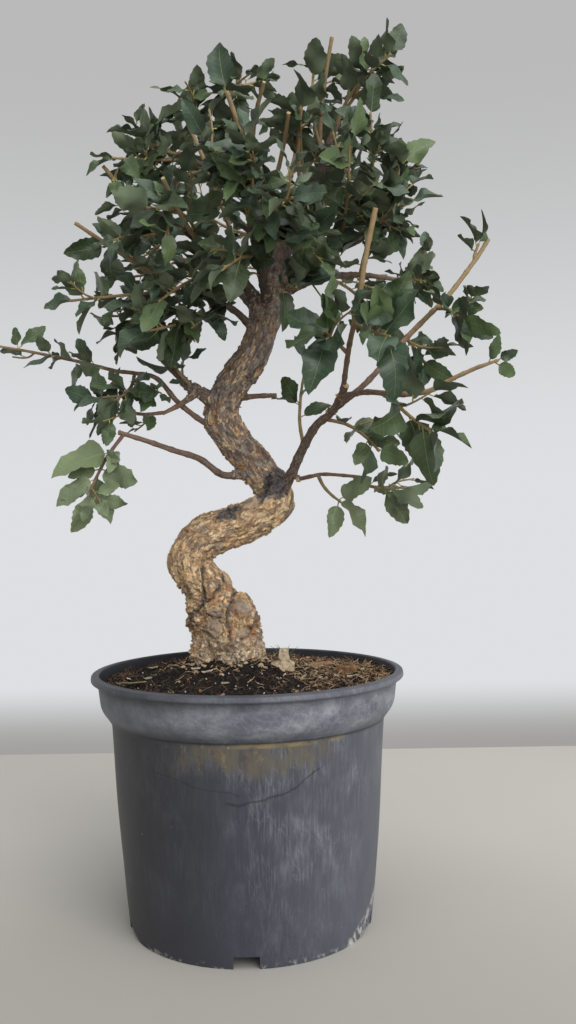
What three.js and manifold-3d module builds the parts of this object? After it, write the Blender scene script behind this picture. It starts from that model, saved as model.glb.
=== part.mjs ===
// Cork oak bonsai in its round nursery pot, with the soil and the loose bark on it.
// Millimetres, +Z up. The origin is on the table under the middle of the pot, its front is at -Y.

import * as THREE from 'three';
import Module from 'manifold-3d';

const wasm = await Module();
wasm.setup();

// Pot: outer wall from the foot to the lip, as radius and height
const POT_SIDES = 32;
const POT_WALL = 1.5;
const POT_HEIGHT = 151;
const LIP_RADIUS = 94.5;
const LIP_DEPTH = 6.5;
const BAND_TOP_RADIUS = 88.5;
const BAND_FOOT_RADIUS = 84;
const BAND_FOOT_HEIGHT = 121.5;
const BODY_TOP_RADIUS = 79.5;
const BODY_TOP_HEIGHT = 118;
const BODY_FOOT_RADIUS = 74.2;
const BODY_FOOT_HEIGHT = 19.6;
const FOOT_RADIUS = 71;
const FOOT_RING_WIDTH = 2.5;
const BASE_UNDERSIDE = 7;
const BASE_TOP = 9;
const NOTCH_WIDTH = 15;
const NOTCH_COUNT = 5;
const NOTCH_FIRST_ANGLE = -90;

// Soil: level at the wall and the mound at the trunk
const SOIL_EDGE_LEVEL = 141;
const SOIL_MOUND = 17;
const SOIL_MOUND_SPREAD = 44;
const SOIL_RINGS = [16, 37, 60];

// Clearance between two pieces
const GAP = 0.35;

// Trunk: points up the middle of the trunk, with its radius there
const TRUNK_SIDES = 14;
const TRUNK_RINGS = 47;
const TRUNK_REACH = 0.03;
const TRUNK = [
  [-12, 20, 124, 17], [-12, 20, 138, 18.5], [-12, 20, 152, 18.5], [-13, 19, 166, 19],
  [-16, 15, 180, 18.5], [-20, 10, 192, 17], [-26, 4, 202, 13.6], [-31, -1, 210, 12.8],
  [-33, -3, 218, 12.6], [-30, -4, 226, 12.8], [-23, -4, 232, 12.8], [-13, -5, 236, 12.6],
  [-3, -4, 239, 12.2], [8, -2, 244, 11.8], [16, 2, 250, 11.2], [18, 7, 258, 10.8], [12, 12, 267, 10.8],
  [5, 14, 276, 11], [-3, 15, 286, 11], [-10, 15, 296, 10.8], [-14, 14, 306, 10.6],
  [-13, 12, 315, 10.4], [-9, 10, 323, 10.3], [-3, 8, 331, 10.2], [4, 6, 340, 10],
  [9, 5, 350, 9.8], [12, 5, 360, 9.4], [16, 5, 372, 8.8], [21, 6, 384, 8],
  [23, 7, 399, 7.2],
];

// Swellings of the bark: place, height and width of each
const SWELLINGS = [
  [5, 10, 158, 5, 8], [-29, 8, 160, 5, 8], [-14, 0, 170, 5, 8], [1, 8, 178, 4.5, 7],
  [-31, 22, 156, 4, 8], [-3, 0, 156, 4, 7], [7, 28, 158, 5, 8], [-20, 38, 160, 5, 9],
  [-30, 2, 184, 4, 7], [-3, 4, 194, 5, 7], [2, 20, 188, 4, 8], [-34, 14, 178, 3, 7],
  [-18, -2, 188, 3, 6], [-46, -4, 214, 1.8, 9], [-18, -16, 226, 2.2, 8],
  [2, -14, 246, 1.8, 8], [27, 4, 246, 2, 7], [-14, 2, 305, 1.6, 7], [-26, 12, 300, 2, 7],
  [20, 8, 268, 1.6, 6], [-1, -2, 337, 1.5, 7], [22, 0, 366, 2, 7], [12, 12, 392, 2, 8],
];
const ROOT_LOBES = 5;
const ROOT_LOBE_HEIGHT = 2.6;
const ROOT_FADE = 14;

// Limbs: points along the middle of each, with the radius at both ends
const LIMB_SIDES = 5;
const TWIG_REACH = 0.004;
const LIMBS = {
  lowRight: { radius: [3.6, 2.1], points: [[21, 3, 258], [28, -4, 268], [34, -12, 281],
    [43, -25, 296], [52, -38, 303], [59, -62, 315]] },
  cutScar: { radius: [4.2, 3.6], points: [[-8, -6, 242], [-9, -8, 255]] },
  lowLeft: { radius: [2.6, 1.5], points: [[0, 10, 270], [-7, 4, 269], [-15, 0, 270],
    [-27, -6, 279], [-42, -14, 284], [-56, -20, 289], [-72, -28, 294]] },
  leftFork: { radius: [4.6, 3.6], points: [[-15, 12, 314], [-24, 9, 319], [-33, 7, 323]] },
  leftStub: { radius: [2.8, 2.5], points: [[-30, 8, 321], [-38, 10, 329], [-53, 14, 345]] },
  leftDown: { radius: [2.2, 1.3], points: [[-29, 8, 321], [-39, 2, 313], [-49, -4, 307]] },
  leftLong: { radius: [2, 1.3], points: [[-17, 13, 300], [-26, 11, 303], [-41, 6, 315],
    [-53, 2, 329], [-66, -2, 332], [-78, -5, 333]] },
  rightStub: { radius: [1.9, 1.6], points: [[-5, 10, 317], [7, 8, 318], [20, 5, 318]] },
  leader: { radius: [7.2, 1.9], points: [[22, 7, 394], [22, 8, 415], [17, 10, 437],
    [9, 10, 459], [2, 6, 482], [0, 3, 499], [0, 0, 515]] },
  leftLimb: { radius: [5, 1.9], points: [[13, 5, 366], [4, -4, 381], [-9, -12, 396],
    [-26, -22, 408], [-43, -30, 420]] },
  rightLimb: { radius: [4.5, 1.6], points: [[19, 5, 377], [29, 2, 388], [42, -5, 399],
    [60, -12, 404], [74, -18, 409], [94, -25, 424]] },
  upRight: { radius: [4, 1.6], points: [[22, 8, 403], [36, 5, 435], [48, 0, 452],
    [55, -5, 471], [64, -10, 488]] },
  rightBack: { radius: [3.6, 1.5], points: [[18, 7, 377], [29, 16, 385], [49, 32, 396],
    [76, 50, 402], [104, 62, 401]] },
  backLimb: { radius: [4, 1.6], points: [[21, 8, 387], [16, 40, 409], [9, 70, 435],
    [-1, 95, 460]] },
  backRight: { radius: [3.6, 1.5], points: [[22, 8, 397], [37, 45, 428], [55, 75, 456]] },
  leftBack: { radius: [3.6, 1.5], points: [[13, 8, 365], [-3, 30, 388], [-23, 55, 407],
    [-47, 75, 422]] },
  frontLimb: { radius: [3.6, 1.5], points: [[16, 0, 373], [13, -30, 384], [10, -58, 394],
    [7, -80, 404]] },
  leftMid: { radius: [2.6, 1.4], points: [[9, 3, 355], [-4, -6, 368], [-21, -16, 374],
    [-41, -26, 377]] },
  topBack: { radius: [3, 1.4], points: [[22, 8, 413], [27, 35, 451], [34, 55, 480],
    [37, 62, 503]] },
  topLeft: { radius: [3, 1.4], points: [[15, 10, 441], [0, 4, 451], [-18, -2, 456],
    [-37, -8, 464]] },
  frontRight: { radius: [1.5, 1.6], points: [[57.5, -57.5, 313], [60, -80, 334], [64, -90, 352],
    [68, -97, 377], [73, -102, 400]] },
  rightOut: { radius: [1.7, 1.2], points: [[56, -52, 310], [69, -80, 309], [85, -92, 306],
    [99, -98, 307], [112, -103, 313], [124, -107, 318]] },
  rightLong: { radius: [1.8, 1.4], points: [[50, -35, 302], [71, -45, 318], [93, -42, 342],
    [109, -38, 358], [121, -34, 370], [138, -28, 392], [146, -25, 404]] },
  lowSide: { radius: [1.5, 1.1], points: [[29, -5, 269], [33, -11, 266], [40, -16, 267],
    [48, -20, 268], [67, -28, 266]] },
};

// Bare shoots that were cut back: limb, place on it, cut end
const SHOOT_SIDES = 4;
const BARE_SHOOTS = [
  ['leftMid', 0.9, [-98, -16, 420]], ['leftLimb', 0.85, [-80, -20, 452]],
  ['rightLimb', 0.8, [110, -30, 455]], ['frontLimb', 0.9, [-2, -98, 462]],
  ['upRight', 0.55, [57, -8, 532]], ['upRight', 0.3, [40, -20, 500]],
  ['leader', 0.35, [30, -30, 478]], ['leader', 0.5, [16, -28, 497]],
  ['leftLimb', 0.5, [-38, -78, 425]], ['leftLimb', 0.3, [-28, -40, 470]],
  ['rightLimb', 0.35, [64, -30, 474]],
];

// Leaf: blade outline as place along the blade and half width, both by its length
const PETIOLE = 3.4;
const BLADE_BASE_WIDTH = 0.75;
const BLADE_BASE_THICKNESS = 0.9;
const BLADE_THICKNESS = 0.6;
const BLADE_MIDDLE = 0.46;
const BLADE_TEETH = [[0.2, 0.268], [0.43, 0.238], [0.69, 0.24]];
const BLADE_ARCH = 0.16;
const BLADE_FOLD = 0.24;
const BLADE_WAVE = 0.035;

// Leafy shoots: limb, place on it, tip, number of leaves, leaf length, the way the blades
// face where it isn't up, and tips of leaves that are aimed from a place on the shoot
const CROWN_MIDDLE = [20, 0, 418];
const SHOOT_RADIUS = [1.1, 0.7];
const FIRST_SEED = 2200;
const SHOOTS = [
  { limb: 'leader', at: 0.8, tip: [-6, -38, 487], leaves: 6, leaf: 22,
    aims: [[1, -11, -41, 515], [0.8, -20, -36, 495]] },
  { limb: 'leader', at: 0.6, tip: [-32, -25, 488], leaves: 6, leaf: 20 },
  { limb: 'leader', at: 0.9, tip: [12, 12, 514], leaves: 5, leaf: 16 },
  { limb: 'topLeft', at: 0.95, tip: [-57, -12, 470], leaves: 6, leaf: 19 },
  { limb: 'topLeft', at: 0.85, tip: [-72, -25, 455], leaves: 6, leaf: 18 },
  { limb: 'topLeft', at: 0.7, tip: [-70, 8, 448], leaves: 6, leaf: 20 },
  { limb: 'topLeft', at: 0.4, tip: [-33, 40, 488], leaves: 6, leaf: 21 },
  { limb: 'leftLimb', at: 0.95, tip: [-62, -20, 424], leaves: 6, leaf: 20 },
  { limb: 'leftLimb', at: 0.8, tip: [-76, -38, 400], leaves: 5, leaf: 19 },
  { limb: 'leftLimb', at: 0.7, tip: [-44, -82, 408], leaves: 7, leaf: 22 },
  { limb: 'leftLimb', at: 0.45, tip: [-43, -55, 365], leaves: 6, leaf: 21 },
  { limb: 'leftMid', at: 0.95, tip: [-96, -34, 370], leaves: 6, leaf: 20 },
  { limb: 'leftMid', at: 0.75, tip: [-78, -2, 367], leaves: 6, leaf: 21 },
  { limb: 'leftMid', at: 0.5, tip: [-50, -50, 349], leaves: 6, leaf: 22 },
  { limb: 'leftFork', at: 0.7, tip: [-50, -2, 355], leaves: 6, leaf: 19 },
  { limb: 'leftLong', at: 0.97, tip: [-147, -6, 349], leaves: 7, leaf: 17, sway: 0.3,
    reach: [0.02, 0.55], aims: [[0.84, -120, -8, 361]] },
  { limb: 'leftLong', at: 0.8, tip: [-72, -28, 314], leaves: 5, leaf: 20 },
  { limb: 'leftDown', at: 0.95, tip: [-86, -22, 313], leaves: 6, leaf: 19 },
  { limb: 'lowLeft', at: 0.97, tip: [-89, -37, 256], leaves: 9, leaf: 24, face: [-0.3, -1, 0.5],
    aims: [[0.1, -99, -32, 305], [0.3, -117, -36, 273], [0.35, -72, -46, 278],
      [0.55, -57, -42, 263], [0.7, -112, -40, 255], [0.85, -72, -36, 240],
      [1, -96, -38, 232]] },
  { limb: 'upRight', at: 0.97, tip: [77, -14, 510], leaves: 6, leaf: 18,
    aims: [[1, 86, -20, 526]] },
  { limb: 'upRight', at: 0.85, tip: [88, -34, 508], leaves: 7, leaf: 20,
    aims: [[1, 98, -36, 527]] },
  { limb: 'upRight', at: 0.62, tip: [46, 2, 518], leaves: 6, leaf: 20,
    aims: [[1, 28, 0, 524]] },
  { limb: 'upRight', at: 0.35, tip: [37, -22, 482], leaves: 6, leaf: 20 },
  { limb: 'rightLimb', at: 0.97, tip: [95, -34, 446], leaves: 6, leaf: 20 },
  { limb: 'rightLimb', at: 0.85, tip: [76, -48, 468], leaves: 6, leaf: 20 },
  { limb: 'rightLimb', at: 0.75, tip: [92, -52, 416], leaves: 6, leaf: 20 },
  { limb: 'rightLimb', at: 0.55, tip: [62, -72, 441], leaves: 6, leaf: 22 },
  { limb: 'rightLimb', at: 0.35, tip: [44, -80, 398], leaves: 6, leaf: 21 },
  { limb: 'frontLimb', at: 0.97, tip: [9, -100, 435], leaves: 6, leaf: 21 },
  { limb: 'frontLimb', at: 0.8, tip: [-14, -94, 440], leaves: 6, leaf: 21 },
  { limb: 'frontLimb', at: 0.62, tip: [30, -104, 405], leaves: 6, leaf: 21 },
  { limb: 'frontLimb', at: 0.4, tip: [-6, -90, 373], leaves: 6, leaf: 22 },
  { limb: 'frontRight', at: 0.4, tip: [78, -106, 334], leaves: 5, leaf: 27, face: [0, -1, 0.6],
    aims: [[1, 84, -113, 304]] },
  { limb: 'frontRight', at: 0.2, tip: [46, -98, 338], leaves: 5, leaf: 27, face: [0, -1, 0.8],
    aims: [[0.7, 38, -108, 312]] },
  { limb: 'rightOut', at: 0.35, tip: [98, -107, 286], leaves: 6, leaf: 26,
    aims: [[0.9, 118, -112, 276]] },
  { limb: 'rightOut', at: 0.97, tip: [131, -109, 320], leaves: 3, leaf: 12,
    aims: [[1, 142, -112, 325]] },
  { limb: 'rightLong', at: 0.82, tip: [139, -28, 399], leaves: 3, leaf: 16,
    aims: [[0.9, 134, -30, 418]] },
  { limb: 'rightLong', at: 0.55, tip: [124, -52, 353], leaves: 6, leaf: 20 },
  { limb: 'rightLong', at: 0.35, tip: [110, -20, 330], leaves: 6, leaf: 21 },
  { limb: 'lowSide', at: 0.97, tip: [92, -36, 259], leaves: 6, leaf: 20 },
  { limb: 'lowSide', at: 0.65, tip: [56, -28, 252], leaves: 3, leaf: 20, face: [0, -1, 0.3],
    aims: [[1, 51, -30, 233], [0.9, 72, -32, 231]] },
  { limb: 'lowRight', at: 0.45, tip: [37, -16, 329], leaves: 5, leaf: 18 },
  { limb: 'lowRight', at: 0.7, tip: [76, -58, 280], leaves: 6, leaf: 21 },
  { limb: 'rightBack', at: 0.97, tip: [118, 70, 403], leaves: 6, leaf: 21 },
  { limb: 'rightBack', at: 0.75, tip: [90, 28, 440], leaves: 6, leaf: 21 },
  { limb: 'rightBack', at: 0.55, tip: [96, 84, 371], leaves: 6, leaf: 22 },
  { limb: 'backLimb', at: 0.97, tip: [-12, 108, 490], leaves: 6, leaf: 21 },
  { limb: 'backLimb', at: 0.65, tip: [-38, 98, 464], leaves: 6, leaf: 21 },
  { limb: 'backRight', at: 0.97, tip: [70, 100, 484], leaves: 7, leaf: 21 },
  { limb: 'backRight', at: 0.6, tip: [38, 110, 440], leaves: 6, leaf: 21 },
  { limb: 'leftBack', at: 0.97, tip: [-70, 92, 438], leaves: 6, leaf: 21 },
  { limb: 'leftBack', at: 0.6, tip: [-84, 50, 402], leaves: 6, leaf: 21 },
  { limb: 'topBack', at: 0.97, tip: [33, 72, 516], leaves: 6, leaf: 19 },
  { limb: 'topBack', at: 0.6, tip: [66, 64, 502], leaves: 6, leaf: 20 },
];

// Loose bark on the soil: place, size, turn about the vertical and lean, both in degrees,
// and how deep each is pressed in
const CHIPS = [
  { at: [25, 11], size: [12, 5, 16], turn: -12, lean: 12, sunk: 2.5 },
  { at: [46, 53], size: [19, 8, 5], turn: 24, lean: 8, sunk: 1.8 },
  { at: [63, 36], size: [15, 9, 5], turn: -35, lean: -8, sunk: 1.8 },
];

const UP = new THREE.Vector3(0, 0, 1);

function vector(point) {
  return new THREE.Vector3(point[0], point[1], point[2]);
}

// A stream of even draws between 0 and 1
function draws(seed) {
  let state = seed >>> 0;
  return () => {
    state = (state + 0x6D2B79F5) >>> 0;
    let mixed = Math.imul(state ^ (state >>> 15), state | 1);
    mixed ^= mixed + Math.imul(mixed ^ (mixed >>> 7), mixed | 61);
    return ((mixed ^ (mixed >>> 14)) >>> 0) / 4294967296;
  };
}

function curveThrough(points) {
  return new THREE.CatmullRomCurve3(points, false, 'catmullrom', 0.5);
}

function between(values, t) {
  const place = Math.min(Math.max(t, 0), 1) * (values.length - 1);
  const index = Math.min(Math.floor(place), values.length - 2);
  return values[index] + (values[index + 1] - values[index]) * (place - index);
}

function solidFrom(positions, triangles) {
  const vertProperties = new Float32Array(positions.length * 3);
  positions.forEach((point, i) => point.toArray(vertProperties, i * 3));
  const triVerts = new Uint32Array(triangles.flat());
  return new wasm.Manifold(new wasm.Mesh({ numProp: 3, vertProperties, triVerts }));
}

// A closed tube through rings of points; both ends are flat
function tubeFromRings(rings) {
  const sides = rings[0].length;
  const positions = rings.flat();
  const triangles = [];
  for (let ring = 0; ring < rings.length - 1; ring += 1) {
    for (let side = 0; side < sides; side += 1) {
      const a = ring * sides + side;
      const b = ring * sides + (side + 1) % sides;
      triangles.push([a, b, b + sides], [a, b + sides, a + sides]);
    }
  }
  const last = (rings.length - 1) * sides;
  for (let side = 1; side < sides - 1; side += 1) {
    triangles.push([0, side + 1, side], [last, last + side, last + side + 1]);
  }
  return solidFrom(positions, triangles);
}

// Axes across a curve at every place, carried along it without twist; reach is the length of
// curve that the direction is taken over, so a long one rounds a tight bend
function axesAlong(curve, places, reach) {
  let side = null;
  return places.map((t) => {
    const ahead = curve.getPoint(Math.min(t + reach, 1));
    const behind = curve.getPoint(Math.max(t - reach, 0));
    const along = ahead.sub(behind).normalize();
    if (side === null) {
      side = Math.abs(along.x) < 0.8 ? new THREE.Vector3(1, 0, 0) : new THREE.Vector3(0, 1, 0);
    }
    side = side.clone().addScaledVector(along, -side.dot(along)).normalize();
    return { middle: curve.getPoint(t), along, side, other: along.clone().cross(side) };
  });
}

function evenPlaces(count) {
  return Array.from({ length: count }, (_, i) => i / (count - 1));
}

// A tube of changing radius; extra widens it and makes it longer at both ends
function taperedTube(points, radii, sides, rings, extra) {
  const axes = axesAlong(curveThrough(points), evenPlaces(rings), TWIG_REACH);
  const loops = axes.map(({ middle, side, other, along }, ring) => {
    const radius = between(radii, ring / (rings - 1)) + extra;
    const push = ring === 0 ? -extra : ring === rings - 1 ? extra : 0;
    return Array.from({ length: sides }, (_, k) => {
      const angle = (k / sides) * 2 * Math.PI;
      return middle.clone().addScaledVector(along, push)
        .addScaledVector(side, radius * Math.cos(angle))
        .addScaledVector(other, radius * Math.sin(angle));
    });
  });
  return tubeFromRings(loops);
}

// Pot
function potProfile() {
  const inner = (radius) => radius - POT_WALL;
  const lipFoot = POT_HEIGHT - LIP_DEPTH;
  return [
    [0, BASE_TOP], [inner(BODY_FOOT_RADIUS) - 0.6, BASE_TOP],
    [inner(BODY_FOOT_RADIUS), BODY_FOOT_HEIGHT], [inner(BODY_TOP_RADIUS), BODY_TOP_HEIGHT + 1],
    [inner(BAND_FOOT_RADIUS), BAND_FOOT_HEIGHT + 1], [inner(BAND_TOP_RADIUS), lipFoot + 1.5],
    [inner(BAND_TOP_RADIUS) + 1.4, POT_HEIGHT - 0.4], [LIP_RADIUS - 3.6, POT_HEIGHT],
    [LIP_RADIUS - 0.6, POT_HEIGHT - 1.8], [LIP_RADIUS, lipFoot + 2.2],
    [LIP_RADIUS - 1.2, lipFoot], [BAND_TOP_RADIUS, lipFoot],
    [BAND_FOOT_RADIUS, BAND_FOOT_HEIGHT], [BODY_TOP_RADIUS, BODY_TOP_HEIGHT],
    [BODY_FOOT_RADIUS, BODY_FOOT_HEIGHT], [FOOT_RADIUS, 0],
    [FOOT_RADIUS - FOOT_RING_WIDTH, 0], [FOOT_RADIUS - FOOT_RING_WIDTH + 0.8, BASE_UNDERSIDE],
    [0, BASE_UNDERSIDE],
  ];
}

// Turns a profile that runs from the axis to the axis into a closed solid
function turned(profile, sides) {
  const inside = profile.slice(1, -1);
  const positions = [new THREE.Vector3(0, 0, profile[0][1])];
  inside.forEach(([radius, height]) => {
    for (let side = 0; side < sides; side += 1) {
      const angle = (side / sides) * 2 * Math.PI;
      positions.push(new THREE.Vector3(radius * Math.cos(angle), radius * Math.sin(angle), height));
    }
  });
  positions.push(new THREE.Vector3(0, 0, profile[profile.length - 1][1]));
  const last = positions.length - 1;
  const triangles = [];
  for (let side = 0; side < sides; side += 1) {
    const next = (side + 1) % sides;
    triangles.push([0, 1 + side, 1 + next]);
    for (let row = 0; row < inside.length - 1; row += 1) {
      const a = 1 + row * sides + side;
      const b = 1 + row * sides + next;
      triangles.push([a, a + sides, b + sides], [a, b + sides, b]);
    }
    const foot = 1 + (inside.length - 1) * sides;
    triangles.push([last, foot + next, foot + side]);
  }
  return solidFrom(positions, triangles);
}

// A box by its middle and size, turned about the vertical and leaned, in degrees
function block(middle, size, turn, lean) {
  const corners = [];
  for (const z of [-1, 1]) {
    for (const [x, y] of [[-1, -1], [1, -1], [1, 1], [-1, 1]]) {
      corners.push([x, y, z]);
    }
  }
  const positions = corners.map(([x, y, z]) => {
    const point = new THREE.Vector3(x * size[0] / 2, y * size[1] / 2, z * size[2] / 2);
    point.applyAxisAngle(new THREE.Vector3(1, 0, 0), THREE.MathUtils.degToRad(lean));
    point.applyAxisAngle(UP, THREE.MathUtils.degToRad(turn));
    return point.add(vector(middle));
  });
  const triangles = [
    [0, 2, 1], [0, 3, 2], [4, 5, 6], [4, 6, 7], [0, 1, 5], [0, 5, 4],
    [1, 2, 6], [1, 6, 5], [2, 3, 7], [2, 7, 6], [3, 0, 4], [3, 4, 7],
  ];
  return solidFrom(positions, triangles);
}

function makePot() {
  let pot = turned(potProfile(), POT_SIDES);
  for (let notch = 0; notch < NOTCH_COUNT; notch += 1) {
    const turn = NOTCH_FIRST_ANGLE + (notch * 360) / NOTCH_COUNT;
    const angle = THREE.MathUtils.degToRad(turn);
    const middle = [FOOT_RADIUS * Math.cos(angle), FOOT_RADIUS * Math.sin(angle), 3];
    const cut = block(middle, [12, NOTCH_WIDTH, BASE_UNDERSIDE * 2 - 6], turn, 0);
    pot = pot.subtract(cut);
  }
  return pot;
}

// Trunk: the radius carries the swellings of the bark and the lobes of the root flare
function barkPoint(middle, direction, angle, radius, extra) {
  const point = middle.clone().addScaledVector(direction, radius);
  let rise = extra;
  SWELLINGS.forEach(([x, y, z, height, width]) => {
    const away = point.distanceTo(new THREE.Vector3(x, y, z));
    rise += height * Math.exp(-(away * away) / (width * width));
  });
  const fade = Math.exp(-Math.max(middle.z - TRUNK[2][2], 0) / ROOT_FADE);
  rise += ROOT_LOBE_HEIGHT * fade * Math.cos(ROOT_LOBES * angle + 0.8);
  return point.addScaledVector(direction, rise);
}

function trunkSolid(extra) {
  const curve = curveThrough(TRUNK.map(vector));
  const radii = TRUNK.map((row) => row[3]);
  const axes = axesAlong(curve, evenPlaces(TRUNK_RINGS), TRUNK_REACH);
  const rings = axes.map(({ middle, along, side, other }, ring) => {
    const push = ring === 0 ? -extra : ring === TRUNK_RINGS - 1 ? extra : 0;
    const place = middle.clone().addScaledVector(along, push);
    return Array.from({ length: TRUNK_SIDES }, (_, k) => {
      const angle = (k / TRUNK_SIDES) * 2 * Math.PI;
      const direction = side.clone().multiplyScalar(Math.cos(angle))
        .addScaledVector(other, Math.sin(angle));
      return barkPoint(place, direction, angle, between(radii, ring / (TRUNK_RINGS - 1)), extra);
    });
  });
  return tubeFromRings(rings);
}

function limbCurve(name) {
  return curveThrough(LIMBS[name].points.map(vector));
}

function makeTree(extra) {
  const grown = [trunkSolid(extra)];
  Object.values(LIMBS).forEach(({ points, radius }) => {
    const rings = Math.max(points.length, 3);
    grown.push(taperedTube(points.map(vector), radius, LIMB_SIDES, rings, extra));
  });
  BARE_SHOOTS.forEach(([limb, at, end], index) => {
    const points = bowedShoot(limbCurve(limb).getPoint(at), vector(end), 0.07, 1.7 * index);
    grown.push(taperedTube(points, [1.4, 1.1], SHOOT_SIDES, 4, extra));
  });
  return wasm.Manifold.union(grown);
}

// Four points of a shoot that bows to one side between its foot and its tip
function bowedShoot(foot, tip, bow, angle) {
  const chord = tip.clone().sub(foot);
  const along = chord.clone().normalize();
  const flat = Math.abs(along.z) < 0.9 ? UP : new THREE.Vector3(1, 0, 0);
  const side = along.clone().cross(flat).normalize();
  const other = along.clone().cross(side);
  const sway = side.multiplyScalar(Math.cos(angle)).addScaledVector(other, Math.sin(angle));
  const reach = bow * chord.length();
  return [
    foot.clone(),
    foot.clone().addScaledVector(chord, 0.33).addScaledVector(sway, reach),
    foot.clone().addScaledVector(chord, 0.68).addScaledVector(sway, reach * 0.8),
    tip.clone(),
  ];
}

// Leaf blade: a closed lens with a toothed edge, arched along the midrib and folded along it
function bladePoint(leaf, u, v) {
  const { foot, along, face, length, wave } = leaf;
  const across = face.clone().cross(along);
  const ripple = BLADE_WAVE * Math.sin(wave + u * 9) * Math.sign(v) * Math.min(Math.abs(v) * 4, 1);
  const lift = -BLADE_ARCH * u * u + BLADE_FOLD * Math.abs(v) + ripple;
  return foot.clone().addScaledVector(along, PETIOLE + u * length)
    .addScaledVector(across, v * length).addScaledVector(face, lift * length);
}

function leafSolid(leaf, withPetiole) {
  const start = leaf.foot.clone().addScaledVector(leaf.along, withPetiole ? -0.6 : PETIOLE - 0.5);
  const middle = bladePoint(leaf, BLADE_MIDDLE, 0);
  const narrow = BLADE_BASE_WIDTH / leaf.length;
  const positions = [
    start,
    bladePoint(leaf, 0, 0).addScaledVector(leaf.face, -BLADE_BASE_THICKNESS),
    middle.clone().addScaledVector(leaf.face, BLADE_THICKNESS),
    middle.clone().addScaledVector(leaf.face, -BLADE_THICKNESS),
    bladePoint(leaf, 0, narrow),
  ];
  BLADE_TEETH.forEach(([u, v]) => positions.push(bladePoint(leaf, u, v)));
  positions.push(bladePoint(leaf, 1, 0));
  [...BLADE_TEETH].reverse().forEach(([u, v]) => positions.push(bladePoint(leaf, u, -v)));
  positions.push(bladePoint(leaf, 0, -narrow));
  const last = positions.length - 1;
  const triangles = [[0, last, 4], [0, 4, 1], [0, 1, last], [2, 4, last], [3, 1, 4], [3, last, 1]];
  for (let edge = 4; edge < last; edge += 1) {
    triangles.push([2, edge + 1, edge], [3, edge, edge + 1]);
  }
  return solidFrom(positions, triangles);
}

// The way a blade faces: towards the light and out of the crown, square to its length
function facing(along, foot, wanted, stray) {
  const outward = foot.clone().sub(vector(CROWN_MIDDLE)).normalize();
  const face = wanted ? vector(wanted).normalize() : UP.clone().multiplyScalar(0.45)
    .addScaledVector(outward, 0.75);
  face.addScaledVector(stray, 0.5);
  face.addScaledVector(along, -face.dot(along));
  return face.normalize();
}

function strayVector(draw) {
  return new THREE.Vector3(draw() * 2 - 1, draw() * 2 - 1, draw() * 2 - 1);
}

// Eight tries for one leaf, each turned a little further from its place on the shoot
const TRIES = 8;
function leafTries(shoot, curve, index, draw) {
  const aims = shoot.aims || [];
  const aimed = index < aims.length;
  const free = shoot.leaves - aims.length;
  const step = aimed ? 0 : (index - aims.length + 1) / free;
  const ending = !aimed && !shoot.reach && aims.every((aim) => aim[0] < 1)
    && index === shoot.leaves - 1;
  const [first, final] = shoot.reach || [0.25, 1];
  const place = aimed ? aims[index][0] : first + (final - first) * (ending ? 1 : Math.min(step, 0.94));
  const foot = curve.getPoint(Math.min(place, 0.985));
  const [axis] = axesAlong(curve, [Math.min(place, 0.985)], TWIG_REACH);
  const tries = [];
  for (let k = 0; k < TRIES; k += 1) {
    const turn = (index * 144 + 40 * (draw() - 0.5) + k * 47) * (Math.PI / 180);
    const lean = ((ending ? 18 : 55) + 26 * (draw() - 0.5) + k * 2) * (Math.PI / 180);
    const size = shoot.leaf * (0.88 + 0.26 * draw()) * (k > 4 ? 0.85 : 1);
    const stray = strayVector(draw);
    const wave = draw() * 6.28;
    const out = axis.side.clone().multiplyScalar(Math.cos(turn))
      .addScaledVector(axis.other, Math.sin(turn));
    let along = axis.along.clone().multiplyScalar(Math.cos(lean))
      .addScaledVector(out, Math.sin(lean)).normalize();
    let length = size;
    if (aimed) {
      const reach = vector(aims[index].slice(1)).sub(foot).addScaledVector(stray, k * 1.2);
      length = Math.max(reach.length() - PETIOLE, 8);
      along = reach.normalize();
    }
    tries.push({ foot, along, face: facing(along, foot, shoot.face, stray), length, wave });
  }
  return tries;
}

function boxOf(solid) {
  return solid.boundingBox();
}

function boxesMeet(a, b, margin) {
  return [0, 1, 2].every((k) => a.min[k] - margin < b.max[k] && b.min[k] - margin < a.max[k]);
}

// True where a solid keeps its distance from every one of the others
function clearOf(solid, others, distance) {
  const box = boxOf(solid);
  return others.every((other) => !boxesMeet(box, other.box, distance)
    || solid.minGap(other.solid, distance * 2) >= distance);
}

// The wood of a leafy shoot: the first of six bows that meets nothing on its way
const BOWS = 6;
function shootWood(shoot, draw, tree, others) {
  const foot = limbCurve(shoot.limb).getPoint(shoot.at);
  let chosen = null;
  for (let k = 0; k < BOWS; k += 1) {
    const bow = (0.05 + 0.07 * draw() + 0.02 * k) * (shoot.sway || 1);
    const angle = draw() * 2 * Math.PI;
    if (chosen === null) {
      const points = bowedShoot(foot, vector(shoot.tip), bow, angle);
      const rings = foot.distanceTo(vector(shoot.tip)) > 40 ? 5 : 4;
      const whole = taperedTube(points, SHOOT_RADIUS, SHOOT_SIDES, rings, 0);
      const parts = whole.subtract(tree).decompose();
      if (parts.length === 1 && clearOf(parts[0], others, GAP)) {
        chosen = { solid: parts[0], whole, curve: curveThrough(points), box: boxOf(parts[0]) };
      }
    }
  }
  return chosen;
}

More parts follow.
